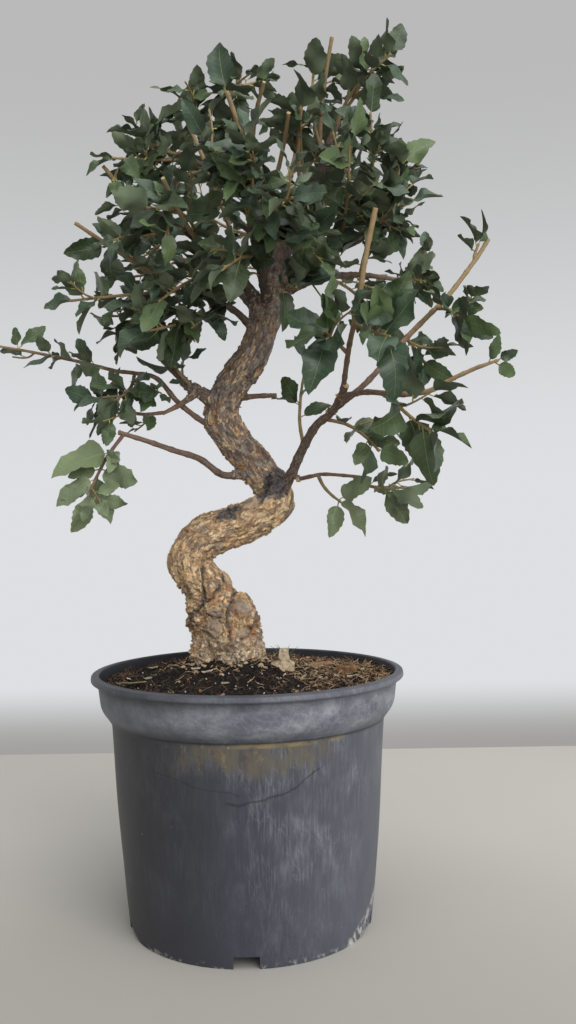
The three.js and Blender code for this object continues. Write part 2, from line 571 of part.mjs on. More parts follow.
// Grows every shoot first, then the leaves of each in turn, each clear of all before it
function growSprays(tree) {
  const sprays = [];
  SHOOTS.forEach((shoot, number) => {
    const draw = draws(FIRST_SEED + number);
    const wood = shootWood(shoot, draw, tree, sprays.map((spray) => spray.wood));
    if (wood) {
      sprays.push({ name: `spray_${String(number + 1).padStart(2, '0')}`, shoot, draw, wood, leaves: [] });
    }
  });
  sprays.forEach((spray) => {
    for (let index = 0; index < spray.shoot.leaves; index += 1) {
      placeLeaf(spray, index, sprays, tree);
    }
  });
  return sprays;
}

function placeLeaf(spray, index, sprays, tree) {
  const tries = leafTries(spray.shoot, spray.wood.curve, index, spray.draw);
  const otherWood = sprays.filter((other) => other !== spray).map((other) => other.wood);
  const placed = sprays.flatMap((other) => other.leaves);
  const treeBody = [{ solid: tree, box: boxOf(tree) }];
  for (const leaf of tries) {
    const blade = leafSolid(leaf, false);
    const solid = leafSolid(leaf, true);
    if (clearOf(blade, [spray.wood, ...placed], GAP) && clearOf(solid, otherWood, GAP)
      && clearOf(solid, treeBody, 0.05)) {
      spray.leaves.push({ solid, box: boxOf(solid), leaf });
      return;
    }
  }
}

function largest(solid) {
  return solid.decompose().reduce((best, one) => (one.volume() > best.volume() ? one : best));
}

// Soil: follows the inside of the pot and rises to the trunk
function soilLevel(x, y) {
  const [tx, ty] = TRUNK[2];
  const away = Math.hypot(x - tx, y - ty) / SOIL_MOUND_SPREAD;
  const roll = 1.1 * Math.sin(x * 0.11 + 1) * Math.cos(y * 0.13) + 0.8 * Math.sin((x - y) * 0.21);
  return SOIL_EDGE_LEVEL + SOIL_MOUND * Math.exp(-away * away) + roll;
}

function makeSoil(trunk, chips) {
  const wall = POT_WALL + GAP;
  const edge = BAND_FOOT_RADIUS - wall
    + ((BAND_TOP_RADIUS - BAND_FOOT_RADIUS) * (SOIL_EDGE_LEVEL - BAND_FOOT_HEIGHT - 3))
    / (POT_HEIGHT - LIP_DEPTH - BAND_FOOT_HEIGHT);
  const rows = [
    [BODY_FOOT_RADIUS - wall - 0.6, BASE_TOP + GAP], [BODY_FOOT_RADIUS - wall, BODY_FOOT_HEIGHT],
    [BODY_TOP_RADIUS - wall, BODY_TOP_HEIGHT + 1.4], [BAND_FOOT_RADIUS - wall, BAND_FOOT_HEIGHT + 1.4],
    [edge, null],
  ];
  [...SOIL_RINGS].reverse().forEach((radius) => rows.push([radius, null]));
  const positions = [new THREE.Vector3(0, 0, BASE_TOP + GAP)];
  rows.forEach(([radius, height]) => {
    for (let side = 0; side < POT_SIDES; side += 1) {
      const angle = (side / POT_SIDES) * 2 * Math.PI;
      const x = radius * Math.cos(angle);
      const y = radius * Math.sin(angle);
      positions.push(new THREE.Vector3(x, y, height === null ? soilLevel(x, y) : height));
    }
  });
  positions.push(new THREE.Vector3(0, 0, soilLevel(0, 0)));
  const last = positions.length - 1;
  const triangles = [];
  for (let side = 0; side < POT_SIDES; side += 1) {
    const next = (side + 1) % POT_SIDES;
    triangles.push([0, 1 + next, 1 + side]);
    for (let row = 0; row < rows.length - 1; row += 1) {
      const a = 1 + row * POT_SIDES + side;
      const b = 1 + row * POT_SIDES + next;
      triangles.push([a, b, b + POT_SIDES], [a, b + POT_SIDES, a + POT_SIDES]);
    }
    const top = 1 + (rows.length - 1) * POT_SIDES;
    triangles.push([last, top + side, top + next]);
  }
  let soil = solidFrom(positions, triangles).subtract(trunk);
  chips.forEach((chip) => { soil = soil.subtract(chip); });
  return largest(soil);
}

// A flake of bark: a block with its corners worn away
function makeChip(chip, number, extra) {
  const draw = draws(70 + number);
  const size = chip.size.map((side) => side + extra * 2);
  const level = soilLevel(chip.at[0], chip.at[1]) + chip.size[2] / 2 - chip.sunk;
  let flake = block([...chip.at, level], size, chip.turn, chip.lean);
  for (let corner = 0; corner < 2; corner += 1) {
    const turn = chip.turn + 35 + 110 * corner + 20 * draw();
    const reach = (chip.size[0] / 2) * 1.5 + extra;
    const angle = THREE.MathUtils.degToRad(turn);
    const middle = [chip.at[0] + reach * Math.cos(angle), chip.at[1] + reach * Math.sin(angle),
      level + 4];
    flake = flake.subtract(block(middle, [chip.size[0] * 0.8, 30, 40], turn, 12));
  }
  return largest(flake);
}

// Finishes
function finish(color, roughness) {
  return new THREE.MeshStandardMaterial({ color, roughness, metalness: 0 });
}

function meshOf(name, solid, material) {
  const { vertProperties, triVerts } = solid.getMesh();
  const geometry = new THREE.BufferGeometry();
  geometry.setAttribute('position', new THREE.BufferAttribute(new Float32Array(vertProperties), 3));
  geometry.setIndex(new THREE.BufferAttribute(new Uint32Array(triVerts), 1));
  geometry.computeVertexNormals();
  const mesh = new THREE.Mesh(geometry, material);
  mesh.name = name;
  return mesh;
}

function buildPlant() {
  const plant = new THREE.Group();
  const tree = makeTree(0);
  const widened = makeTree(GAP);
  const chips = CHIPS.map((chip, number) => makeChip(chip, number, 0));
  const dents = CHIPS.map((chip, number) => makeChip(chip, number, GAP));
  plant.add(meshOf('pot', makePot(), finish(0x4c535f, 0.6)));
  plant.add(meshOf('soil', makeSoil(trunkSolid(GAP), dents), finish(0x2b2019, 1)));
  plant.add(meshOf('tree', tree, finish(0x8a6a4a, 0.9)));
  chips.forEach((chip, number) => {
    plant.add(meshOf(`bark_chip_${number + 1}`, chip, finish(0xa07a55, 0.9)));
  });
  growSprays(widened).forEach((spray) => {
    const grown = wasm.Manifold.union([spray.wood.whole, ...spray.leaves.map((one) => one.solid)]);
    const clear = largest(grown.subtract(widened));
    plant.add(meshOf(spray.name, clear, finish(0x3c5a3c, 0.5)));
  });
  return plant;
}

export default buildPlant();
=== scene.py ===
"""Finished look of a cork oak bonsai that stands in a round nursery pot.

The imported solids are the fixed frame. Sizes in the classes are millimetres, and MM turns them into
Blender's metres.
"""

import logging
import math
from collections.abc import Callable, Iterator
from dataclasses import dataclass, field
from enum import Enum
from functools import partial, reduce

import bpy
import numpy as np
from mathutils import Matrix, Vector, noise
from mathutils.kdtree import KDTree


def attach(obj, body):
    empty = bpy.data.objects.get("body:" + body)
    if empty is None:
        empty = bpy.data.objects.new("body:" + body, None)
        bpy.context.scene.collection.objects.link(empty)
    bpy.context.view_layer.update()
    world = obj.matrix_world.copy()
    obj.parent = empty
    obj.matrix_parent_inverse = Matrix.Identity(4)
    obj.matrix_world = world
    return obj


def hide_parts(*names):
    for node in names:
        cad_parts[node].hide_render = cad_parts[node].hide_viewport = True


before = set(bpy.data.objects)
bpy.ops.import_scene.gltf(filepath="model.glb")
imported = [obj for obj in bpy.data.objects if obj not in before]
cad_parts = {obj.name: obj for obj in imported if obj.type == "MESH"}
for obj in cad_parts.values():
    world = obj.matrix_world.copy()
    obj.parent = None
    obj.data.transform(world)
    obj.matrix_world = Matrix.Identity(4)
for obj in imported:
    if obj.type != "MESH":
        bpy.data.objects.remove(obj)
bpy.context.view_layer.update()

MM = 0.001
Point = tuple[float, float, float]
Rule = Callable[[float, float], float]
Socket = bpy.types.NodeSocket
log = logging.getLogger("bonsai")


class Slot(Enum):
    """Material slots of the record."""

    POT = "pot"
    SOIL = "soil"
    BARK = "bark"
    CHIP = "chip"
    LEAF = "leaf"


# Node trees


class Bench:
    """Lays out the nodes of one tree and joins their sockets."""

    def __init__(self, tree: bpy.types.NodeTree) -> None:
        """Keeps the tree that the nodes go into."""
        self.tree = tree

    @staticmethod
    def socket(sockets: bpy.types.bpy_prop_collection, key: int | str) -> Socket:
        """Finds a socket.

        Args:
            sockets: the inputs or outputs of a node.
            key: its index, its identifier, or the name of one that is in use.

        Returns:
            The socket.
        """
        if isinstance(key, int):
            return sockets[key]
        for one in sockets:
            if one.identifier == key and one.enabled:
                return one
        return next(one for one in sockets if one.enabled and one.name == key)

    def node(self, kind: str, inputs: dict | None = None, **settings: object) -> bpy.types.Node:
        """Adds a node.

        Args:
            kind: its type in Blender.
            inputs: a value or a socket for each input that isn't left as it is.
            settings: its properties.

        Returns:
            The node.
        """
        node = self.tree.nodes.new(kind)
        for key, value in settings.items():
            setattr(node, key, value)
        for key, value in (inputs or {}).items():
            self.feed(self.socket(node.inputs, key), value)
        return node

    def feed(self, socket: Socket, value: object) -> None:
        """Joins a socket to another one, or sets its value.

        Args:
            socket: an input.
            value: a socket, a value, or None to leave the input as it is.
        """
        if isinstance(value, bpy.types.NodeSocket):
            self.tree.links.new(value, socket)
        elif value is not None:
            socket.default_value = value

    def math(self, operation: str, *values: object) -> Socket:
        """Adds a Math node and gives its result."""
        return self.node("ShaderNodeMath", dict(enumerate(values)), operation=operation).outputs[0]

    def times(self, *values: object) -> Socket:
        """Multiplies values, from the first to the last."""
        return reduce(partial(self.math, "MULTIPLY"), values)

    def plus(self, *values: object) -> Socket:
        """Adds values up, from the first to the last."""
        return reduce(partial(self.math, "ADD"), values)

    def minus(self, value: object, other: object) -> Socket:
        """Takes one value off another."""
        return self.math("SUBTRACT", value, other)

    def highest(self, value: object, other: object) -> Socket:
        """Gives the larger of two values."""
        return self.math("MAXIMUM", value, other)

    def line(self, value: object, slope: object, start: object) -> Socket:
        """Gives a value times a slope, plus a start."""
        return self.math("MULTIPLY_ADD", value, slope, start)

    def place(self) -> Socket:
        """Gives the coordinates on the piece."""
        return self.node("ShaderNodeTexCoord").outputs["Object"]

    def vector(self, operation: str, *values: object) -> Socket:
        """Adds a Vector Math node of two vectors, or of a vector and a scale.

        Args:
            operation: what it does.
            values: its vectors; the second is the factor where the operation is SCALE.

        Returns:
            Its result.
        """
        node = self.node("ShaderNodeVectorMath", operation=operation)
        keys = [0, "Scale"] if operation == "SCALE" else [0, 1, 2]
        for key, value in zip(keys, values):
            self.feed(self.socket(node.inputs, key), value)
        return node.outputs["Value" if operation in {"LENGTH", "DISTANCE", "DOT_PRODUCT"} else "Vector"]

    def combine(self, x: object, y: object, z: object) -> Socket:
        """Makes a vector of three values."""
        return self.node("ShaderNodeCombineXYZ", {0: x, 1: y, 2: z}).outputs[0]

    def separate(self, vector: Socket) -> list[Socket]:
        """Gives the three values of a vector."""
        return list(self.node("ShaderNodeSeparateXYZ", {0: vector}).outputs)

    def stretch(self, vector: Socket, scale: Point, turn: Point = (0, 0, 0)) -> Socket:
        """Scales and turns coordinates by a Mapping node."""
        inputs = {"Vector": vector, "Scale": scale, "Rotation": turn}
        return self.node("ShaderNodeMapping", inputs).outputs[0]

    def noise(self, vector: Socket, scale: float, detail: float = 3, rough: float = 0.55) -> Socket:
        """Gives noise between 0 and 1."""
        inputs = {"Vector": vector, "Scale": scale, "Detail": detail, "Roughness": rough}
        return self.node("ShaderNodeTexNoise", inputs).outputs["Fac"]

    def spread(self, value: Socket, low: float, high: float, first: float = 0, last: float = 1) -> Socket:
        """Maps a range of a value smoothly onto another range.

        Args:
            value: what is mapped.
            low: where the range starts.
            high: where it ends.
            first: the result at its start.
            last: the result at its end.

        Returns:
            The mapped value, which stays within the new range.
        """
        inputs = {"Value": value, "From Min": low, "From Max": high, "To Min": first, "To Max": last}
        return self.node("ShaderNodeMapRange", inputs, interpolation_type="SMOOTHSTEP").outputs[0]

    def band(self, value: Socket, middle: object, half: float, soft: float) -> Socket:
        """Gives 1 within half of a middle value, and falls to 0 over the soft width."""
        away = self.math("ABSOLUTE", self.math("SUBTRACT", value, middle))
        return self.spread(away, half, half + soft, 1, 0)

    def mix(self, factor: object, under: object, over: object, blend: str = "MIX") -> Socket:
        """Lays one colour over another by a factor.

        Args:
            factor: how much of the upper colour shows.
            under: the lower colour.
            over: the upper colour.
            blend: how they are blended.

        Returns:
            The mixed colour.
        """
        node = self.node("ShaderNodeMix", data_type="RGBA", blend_type=blend)
        for key, value in (("Factor_Float", factor), ("A_Color", under), ("B_Color", over)):
            self.feed(self.socket(node.inputs, key), value)
        return self.socket(node.outputs, "Result_Color")

    def attribute(self, name: str, output: str = "Fac") -> Socket:
        """Reads an attribute of the piece in a material."""
        return self.node("ShaderNodeAttribute", attribute_name=name).outputs[output]

    def named(self, name: str, kind: str = "FLOAT") -> Socket:
        """Reads an attribute in a Geometry Nodes tree.

        Args:
            name: its name.
            kind: its type.

        Returns:
            Its value.
        """
        node = self.node("GeometryNodeInputNamedAttribute", data_type=kind)
        node.inputs["Name"].default_value = name
        return next(one for one in node.outputs if one.enabled and one.name == "Attribute")

    def store(self, geometry: Socket, name: str, value: object, kind: str = "FLOAT") -> Socket:
        """Stores an attribute on the points and gives the geometry that has it.

        Args:
            geometry: what gets it.
            name: its name.
            value: its value.
            kind: its type.

        Returns:
            The geometry that has it.
        """
        node = self.node("GeometryNodeStoreNamedAttribute", data_type=kind)
        self.feed(node.inputs["Geometry"], geometry)
        node.inputs["Name"].default_value = name
        self.feed(self.socket(node.inputs, "Value"), value)
        return node.outputs[0]

    def effect(self, group: bpy.types.NodeTree, inputs: dict) -> bpy.types.Node:
        """Places a shared group with its own values.

        Args:
            group: the group.
            inputs: a value or a socket for each of its inputs.

        Returns:
            The node.
        """
        node = self.tree.nodes.new("ShaderNodeGroup")
        node.node_tree = group
        for key, value in inputs.items():
            self.feed(node.inputs[key], value)
        return node


def new_group(name: str, kind: str, inputs: list[tuple], outputs: list[tuple]) -> tuple:
    """Makes a node group with named sockets.

    Args:
        name: the group's name.
        kind: the type of its tree.
        inputs: name, socket type and default of each input.
        outputs: name and socket type of each output.

    Returns:
        The group, a bench for it, its input node and its output node.
    """
    group = bpy.data.node_groups.new(name, kind)
    for label, socket_type, default in inputs:
        socket = group.interface.new_socket(label, in_out="INPUT", socket_type=socket_type)
        if default is not None:
            socket.default_value = default
    for label, socket_type in outputs:
        group.interface.new_socket(label, in_out="OUTPUT", socket_type=socket_type)
    bench = Bench(group)
    return group, bench, bench.node("NodeGroupInput"), bench.node("NodeGroupOutput")


FLOAT = "NodeSocketFloat"
VECTOR = "NodeSocketVector"


class Effects:
    """Shader groups that several finishes share."""

    def __init__(self) -> None:
        """Builds each group once."""
        self.mottle = self.build_mottle()
        self.cracks = self.build_cracks()
        self.veins = self.build_veins()
        self.flakes = self.build_flakes()

    @staticmethod
    def build_mottle() -> bpy.types.NodeTree:
        """Builds soft patches: a mask from noise between two levels."""
        group, bench, source, sink = new_group(
            "mottle", "ShaderNodeTree",
            [("Vector", VECTOR, None), ("Scale", FLOAT, 1.0), ("Detail", FLOAT, 3.0),
             ("Low", FLOAT, 0.4), ("High", FLOAT, 0.6)],
            [("Mask", FLOAT)],
        )
        inputs = {"Vector": source.outputs["Vector"], "Scale": source.outputs["Scale"],
                  "Detail": source.outputs["Detail"], "Roughness": 0.6}
        value = bench.node("ShaderNodeTexNoise", inputs).outputs["Fac"]
        limits = {"Value": value, "From Min": source.outputs["Low"], "From Max": source.outputs["High"]}
        mask = bench.node("ShaderNodeMapRange", limits, interpolation_type="SMOOTHSTEP").outputs[0]
        bench.feed(sink.inputs["Mask"], mask)
        return group

    @staticmethod
    def build_cracks() -> bpy.types.NodeTree:
        """Builds the fissures between plates: a mask in the fissures and a tone for each plate."""
        group, bench, source, sink = new_group(
            "cracks", "ShaderNodeTree",
            [("Vector", VECTOR, None), ("Scale", FLOAT, 1.0), ("Width", FLOAT, 0.1), ("Wander", FLOAT, 0.3)],
            [("Mask", FLOAT), ("Tone", FLOAT)],
        )
        drift = bench.node("ShaderNodeTexNoise", {"Vector": source.outputs["Vector"],
                                                  "Scale": source.outputs["Scale"], "Detail": 2.0})
        moved = bench.vector("SCALE", drift.outputs["Color"], source.outputs["Wander"])
        scaled = bench.vector("SCALE", source.outputs["Vector"], source.outputs["Scale"])
        place = bench.vector("ADD", scaled, moved)
        edge = bench.node("ShaderNodeTexVoronoi", {"Vector": place, "Scale": 1.0},
                          feature="DISTANCE_TO_EDGE").outputs["Distance"]
        cell = bench.node("ShaderNodeTexVoronoi", {"Vector": place, "Scale": 1.0}).outputs["Color"]
        limits = {"Value": edge, "From Min": 0.0, "From Max": source.outputs["Width"], "To Min": 1.0,
                  "To Max": 0.0}
        mask = bench.node("ShaderNodeMapRange", limits, interpolation_type="SMOOTHSTEP").outputs[0]
        bench.feed(sink.inputs["Mask"], mask)
        bench.feed(sink.inputs["Tone"], bench.separate(cell)[0])
        return group

    @staticmethod
    def build_flakes() -> bpy.types.NodeTree:
        """Builds broken flakes: the line at their edges, a tone for each, and a height that leans."""
        group, bench, source, sink = new_group(
            "flakes", "ShaderNodeTree",
            [("Vector", VECTOR, None), ("Scale", FLOAT, 1.0), ("Ragged", FLOAT, 1.0), ("Width", FLOAT, 0.12)],
            [("Edge", FLOAT), ("Tone", FLOAT), ("Height", FLOAT)],
        )
        half = (0.5, 0.5, 0.5)
        scaled = bench.vector("SCALE", source.outputs["Vector"], source.outputs["Scale"])
        drift = bench.node("ShaderNodeTexNoise",
                           {"Vector": scaled, "Scale": 1.3, "Detail": 3.0}).outputs["Color"]
        drift = bench.vector("SCALE", bench.vector("SUBTRACT", drift, half), source.outputs["Ragged"])
        place = bench.vector("ADD", scaled, drift)
        cell = bench.node("ShaderNodeTexVoronoi", {"Vector": place, "Scale": 1.0})
        edge = bench.node("ShaderNodeTexVoronoi", {"Vector": place, "Scale": 1.0},
                          feature="DISTANCE_TO_EDGE").outputs["Distance"]
        tone = bench.separate(cell.outputs["Color"])[0]
        away = bench.vector("SUBTRACT", place, cell.outputs["Position"])
        slope = bench.vector("DOT_PRODUCT", away, bench.vector("SUBTRACT", cell.outputs["Color"], half))
        height = bench.plus(bench.times(tone, 0.5), bench.times(slope, 1.6))
        bench.feed(sink.inputs["Edge"], bench.spread(edge, 0.0, source.outputs["Width"], 1, 0))
        bench.feed(sink.inputs["Tone"], tone)
        bench.feed(sink.inputs["Height"], height)
        return group

    @staticmethod
    def build_veins() -> bpy.types.NodeTree:
        """Builds the midrib and the side veins of a blade from its own coordinates."""
        group, bench, source, sink = new_group(
            "veins", "ShaderNodeTree",
            [("Along", FLOAT, 0.0), ("Across", FLOAT, 0.0), ("Pairs", FLOAT, 7.0)],
            [("Midrib", FLOAT), ("Side Veins", FLOAT), ("Net", FLOAT)],
        )
        along = source.outputs["Along"]
        out = bench.math("ABSOLUTE", source.outputs["Across"])
        thin = bench.line(along, -0.009, 0.014)
        midrib = bench.minus(1.0, bench.math("DIVIDE", out, thin))
        midrib = bench.spread(midrib, 0.0, 0.7)
        root = bench.line(out, -0.85, along)
        root = bench.plus(root, bench.times(out, out, 0.7))
        turn = bench.math("FRACT", bench.times(root, source.outputs["Pairs"]))
        line = bench.band(turn, 0.5, 0.015, 0.075)
        line = bench.times(line, bench.spread(out, 0.17, 0.26, 1, 0.25))
        place = bench.combine(along, source.outputs["Across"], 0.0)
        net = bench.node("ShaderNodeTexVoronoi", {"Vector": place, "Scale": 34.0},
                         feature="DISTANCE_TO_EDGE").outputs["Distance"]
        bench.feed(sink.inputs["Midrib"], midrib)
        bench.feed(sink.inputs["Side Veins"], line)
        bench.feed(sink.inputs["Net"], bench.spread(net, 0.0, 0.08, 1, 0))
        return group


# Finishes


def start_material(name: str) -> tuple[bpy.types.Material, Bench, bpy.types.Node]:
    """Makes an empty material.

    Args:
        name: its name.

    Returns:
        The material, a bench for its tree and its Principled BSDF.
    """
    material = bpy.data.materials.new(name)
    material.use_nodes = True
    bench = Bench(material.node_tree)
    return material, bench, material.node_tree.nodes["Principled BSDF"]


def raise_bump(bench: Bench, shader: bpy.types.Node, height: Socket, distance: float,
               strength: float) -> None:
    """Gives a shader a bump.

    Args:
        bench: the bench of the material.
        shader: its Principled BSDF.
        height: the height over the surface, about 0 to 1.
        distance: the height of 1 in millimetres.
        strength: how much of it shows.
    """
    inputs = {"Height": height, "Distance": distance * MM, "Strength": strength}
    bench.feed(shader.inputs["Normal"], bench.node("ShaderNodeBump", inputs).outputs["Normal"])


def set_gloss(shader: bpy.types.Node, roughness: float, specular: float) -> None:
    """Sets how rough a shader is and how much it mirrors."""
    shader.inputs["Roughness"].default_value = roughness
    shader.inputs["Specular IOR Level"].default_value = specular


@dataclass(frozen=True)
class Finish:
    """A material made of nodes, with the shared groups at hand."""

    effects: Effects

    def mask(self, bench: Bench, place: Socket, scale: float, detail: float, low: float,
             high: float) -> Socket:
        """Places the shared mottle group."""
        inputs = {"Vector": place, "Scale": scale, "Detail": detail, "Low": low, "High": high}
        return bench.effect(self.effects.mottle, inputs).outputs["Mask"]


@dataclass(frozen=True)
class PotPlastic(Finish):
    """Matt blue-grey plastic, chalky with lime, scuffed on its band, stained under it and scratched; painted
    shade on its left side, inside its rim and in a line under its band, and painted light on its right side.
    """

    # dark, body and worn are one plastic painted from shaded to lit: worn is painted light on the right side
    dark: tuple = (0.029, 0.030, 0.036, 1)
    body: tuple = (0.046, 0.049, 0.066, 1)
    worn: tuple = (0.090, 0.096, 0.122, 1)
    chalk: tuple = (0.300, 0.315, 0.350, 1)
    stain: tuple = (0.112, 0.100, 0.072, 1)
    gold: tuple = (0.280, 0.220, 0.110, 1)
    lime: tuple = (0.560, 0.550, 0.520, 1)
    # Painted shade for the inner wall and the line under the band, and also the colour of the scratches
    shade_and_scratch: tuple = (0.016, 0.017, 0.022, 1)

    def material(self) -> bpy.types.Material:
        """Builds the material from coordinates on the pot."""
        material, bench, shader = start_material("pot_plastic")
        place = bench.place()
        x, y, z = bench.separate(place)
        front = bench.spread(y, 0.0, -0.02)
        sway = bench.line(bench.noise(place, 14.0, 3), 0.06, -0.03)
        right = bench.plus(x, sway)
        # Painted shade on the left side and painted light on the right side: the plastic runs from dark
        # through body to the lit worn colour
        color = bench.mix(bench.spread(right, -0.065, 0.005), self.dark, self.body)
        color = bench.mix(bench.spread(right, 0.005, 0.072), color, self.worn)
        frost = self.frost(bench, place, right, z)
        color = bench.mix(frost, color, self.chalk)
        color = self.banded(bench, color, place, right, z)
        color = self.stained(bench, color, place, x, z, front)
        color = self.scratched(bench, color, place, x, z, front)
        color, crust = self.limed(bench, color, place, z)
        # Painted shade: the inner wall below the rim is painted nearly black
        reach = bench.vector("LENGTH", bench.combine(x, y, 0.0))
        inside = bench.spread(bench.line(z, -0.118, reach), 0.0721, 0.0727, 1, 0)
        inside = bench.times(inside, bench.times(bench.spread(z, 0.1306, 0.1312),
                                                 bench.spread(z, 0.1496, 0.1506, 1, 0.25)))
        color = bench.mix(bench.times(inside, 0.92), color, self.shade_and_scratch)
        bench.feed(shader.inputs["Base Color"], color)
        bench.feed(shader.inputs["Roughness"], bench.spread(frost, 0.0, 0.5, 0.48, 0.78))
        shader.inputs["Specular IOR Level"].default_value = 0.4
        height = bench.plus(bench.times(frost, 0.8), bench.times(crust, 2.5))
        height = bench.plus(height, bench.noise(place, 620.0, 4))
        raise_bump(bench, shader, height, 0.16, 0.6)
        return material

    def strokes(self, bench: Bench, place: Socket, turn: float, scale: float, length: float,
                half: float) -> Socket:
        """Draws thin wandering strokes that run one way over the front.

        Args:
            bench: the bench of the material.
            place: coordinates on the pot.
            turn: the way they run, in radians off upright.
            scale: how close they lie.
            length: how much they are drawn out, below 1.
            half: half their width in the noise.

        Returns:
            A mask of the strokes.
        """
        turned = bench.stretch(bench.stretch(place, (1, 1, 1), (0, turn, 0)), (1, 1, length))
        return bench.band(bench.noise(turned, scale, 3, 0.6), 0.5, half, half * 2)

    def frost(self, bench: Bench, place: Socket, right: Socket, z: Socket) -> Socket:
        """Lays chalky streaks and fine scratches over the body, more of them to the right and above.

        Args:
            bench: the bench of the material.
            place: coordinates on the pot.
            right: the way to the right, with some sway.
            z: the height.

        Returns:
            How chalky the surface is.
        """
        blotch = self.mask(bench, place, 34.0, 5.0, 0.40, 0.66)
        streaks = self.mask(bench, bench.stretch(place, (1, 1, 0.045)), 880.0, 5.0, 0.46, 0.68)
        haze = self.mask(bench, bench.stretch(place, (1, 1, 0.35)), 130.0, 9.0, 0.40, 0.74)
        share = bench.plus(bench.times(streaks, 0.34), bench.times(haze, 0.38))
        share = bench.times(share, bench.line(blotch, 0.70, 0.30))
        lines = bench.highest(self.strokes(bench, place, 0.5, 160.0, 0.06, 0.005),
                              self.strokes(bench, place, -0.35, 190.0, 0.05, 0.004))
        lines = bench.times(lines, bench.times(blotch, 0.20))
        share = bench.plus(share, lines)
        place_share = bench.times(bench.spread(right, -0.055, 0.05, 0.14, 0.92),
                                  bench.spread(z, 0.01, 0.085, 0.40, 1))
        return bench.times(share, place_share)

    def banded(self, bench: Bench, color: Socket, place: Socket, right: Socket, z: Socket) -> Socket:
        """Scuffs the band and the lip, and paints a thin shadow line under the band.

        Args:
            bench: the bench of the material.
            color: the colour so far.
            place: coordinates on the pot.
            right: the way to the right, with some sway.
            z: the height.

        Returns:
            The colour with its scuffs.
        """
        upper = bench.times(bench.spread(z, 0.1246, 0.1300, 0.15, 1),
                            bench.spread(z, 0.1390, 0.1465, 1, 0.28))
        upper = bench.times(upper, bench.spread(z, 0.1240, 0.1246))
        color = bench.mix(bench.times(upper, 0.70), color, (0.120, 0.128, 0.158, 1))
        scuff = self.mask(bench, bench.stretch(place, (1, 1, 1.4)), 60.0, 9.0, 0.34, 0.72)
        brushed = bench.highest(self.strokes(bench, place, 1.35, 210.0, 0.10, 0.018),
                                self.strokes(bench, place, 0.75, 260.0, 0.10, 0.012))
        fine = self.mask(bench, place, 700.0, 3.0, 0.45, 0.70)
        scuff = bench.plus(bench.times(scuff, 0.66), bench.times(brushed, 0.14))
        scuff = bench.line(bench.times(fine, scuff), 0.5, scuff)
        amount = bench.times(upper, scuff, bench.spread(right, -0.08, 0.06, 0.32, 1.30))
        color = bench.mix(amount, color, self.chalk)
        color = bench.mix(bench.times(bench.spread(z, 0.1495, 0.1505), 0.35), color, self.dark)
        # Painted shadow: a thin dark line under the band's step
        return bench.mix(bench.times(bench.band(z, 0.1236, 0.0004, 0.0006), 0.7), color, self.shade_and_scratch)

    def stained(self, bench: Bench, color: Socket, place: Socket, x: Socket, z: Socket,
                front: Socket) -> Socket:
        """Lays the brown run-off stain under the band, with a golden line along its upper edge.

        Args:
            bench: the bench of the material.
            color: the colour so far.
            place: coordinates on the pot.
            x: their first value.
            z: their third value.
            front: 1 on the front of the pot.

        Returns:
            The stained colour.
        """
        runs = bench.noise(bench.stretch(place, (1, 1, 0.30)), 120.0, 6, 0.7)
        foot = bench.line(runs, -0.034, 0.1250)
        drop = bench.spread(bench.minus(z, foot), -0.004, 0.005)
        under = bench.spread(z, 0.1222, 0.1236, 1, 0)
        sides = bench.times(bench.spread(x, -0.050, -0.022), bench.spread(x, 0.040, 0.052, 1, 0))
        sides = bench.times(sides, front)
        amount = bench.times(drop, under, sides)
        patch = self.mask(bench, bench.stretch(place, (1, 1, 0.55)), 190.0, 7.0, 0.32, 0.66)
        color = bench.mix(bench.times(amount, bench.spread(patch, 0, 1, 0.16, 0.82)), color, self.stain)
        rust = self.mask(bench, bench.stretch(place, (1, 1, 0.8)), 230.0, 5.0, 0.52, 0.68)
        hue = bench.mix(bench.spread(bench.noise(place, 130.0, 2), 0.45, 0.55), self.gold,
                        (0.170, 0.095, 0.045, 1))
        color = bench.mix(bench.times(rust, amount, 0.50), color, hue)
        right = bench.times(bench.spread(x, -0.020, 0.010), bench.spread(x, 0.050, 0.058, 1, 0))
        line = bench.times(bench.band(z, 0.1222, 0.0005, 0.0014), bench.times(right, front))
        line = bench.times(line, self.mask(bench, place, 110.0, 5.0, 0.30, 0.60))
        return bench.mix(bench.times(line, 0.75), color, self.gold)

    def scratched(self, bench: Bench, color: Socket, place: Socket, x: Socket, z: Socket,
                  front: Socket) -> Socket:
        """Draws the two long scratches on the front.

        Args:
            bench: the bench of the material.
            color: the colour so far.
            place: coordinates on the pot.
            x: their first value.
            z: their third value.
            front: 1 on the front of the pot.

        Returns:
            The scratched colour.
        """
        shake = bench.line(bench.noise(place, 70.0, 3), 0.006, -0.003)
        bend = bench.highest(bench.plus(x, 0.002), 0.0)
        bend = bench.times(bend, bend, 8.5)
        curve = bench.plus(bend, 0.0912, shake)
        ends = bench.times(bench.spread(x, -0.012, -0.008), bench.spread(x, 0.040, 0.043, 1, 0))
        deep = bench.times(bench.band(z, curve, 0.0002, 0.0007), bench.times(ends, front))
        line = bench.plus(bench.line(x, -0.21, 0.095), shake)
        span = bench.times(bench.spread(x, -0.056, -0.050), bench.spread(x, -0.004, 0.002, 1, 0))
        thin = bench.times(bench.band(z, line, 0.0001, 0.0005), bench.times(span, front))
        color = bench.mix(bench.times(deep, 0.62), color, self.shade_and_scratch)
        return bench.mix(bench.times(thin, 0.45), color, self.shade_and_scratch)

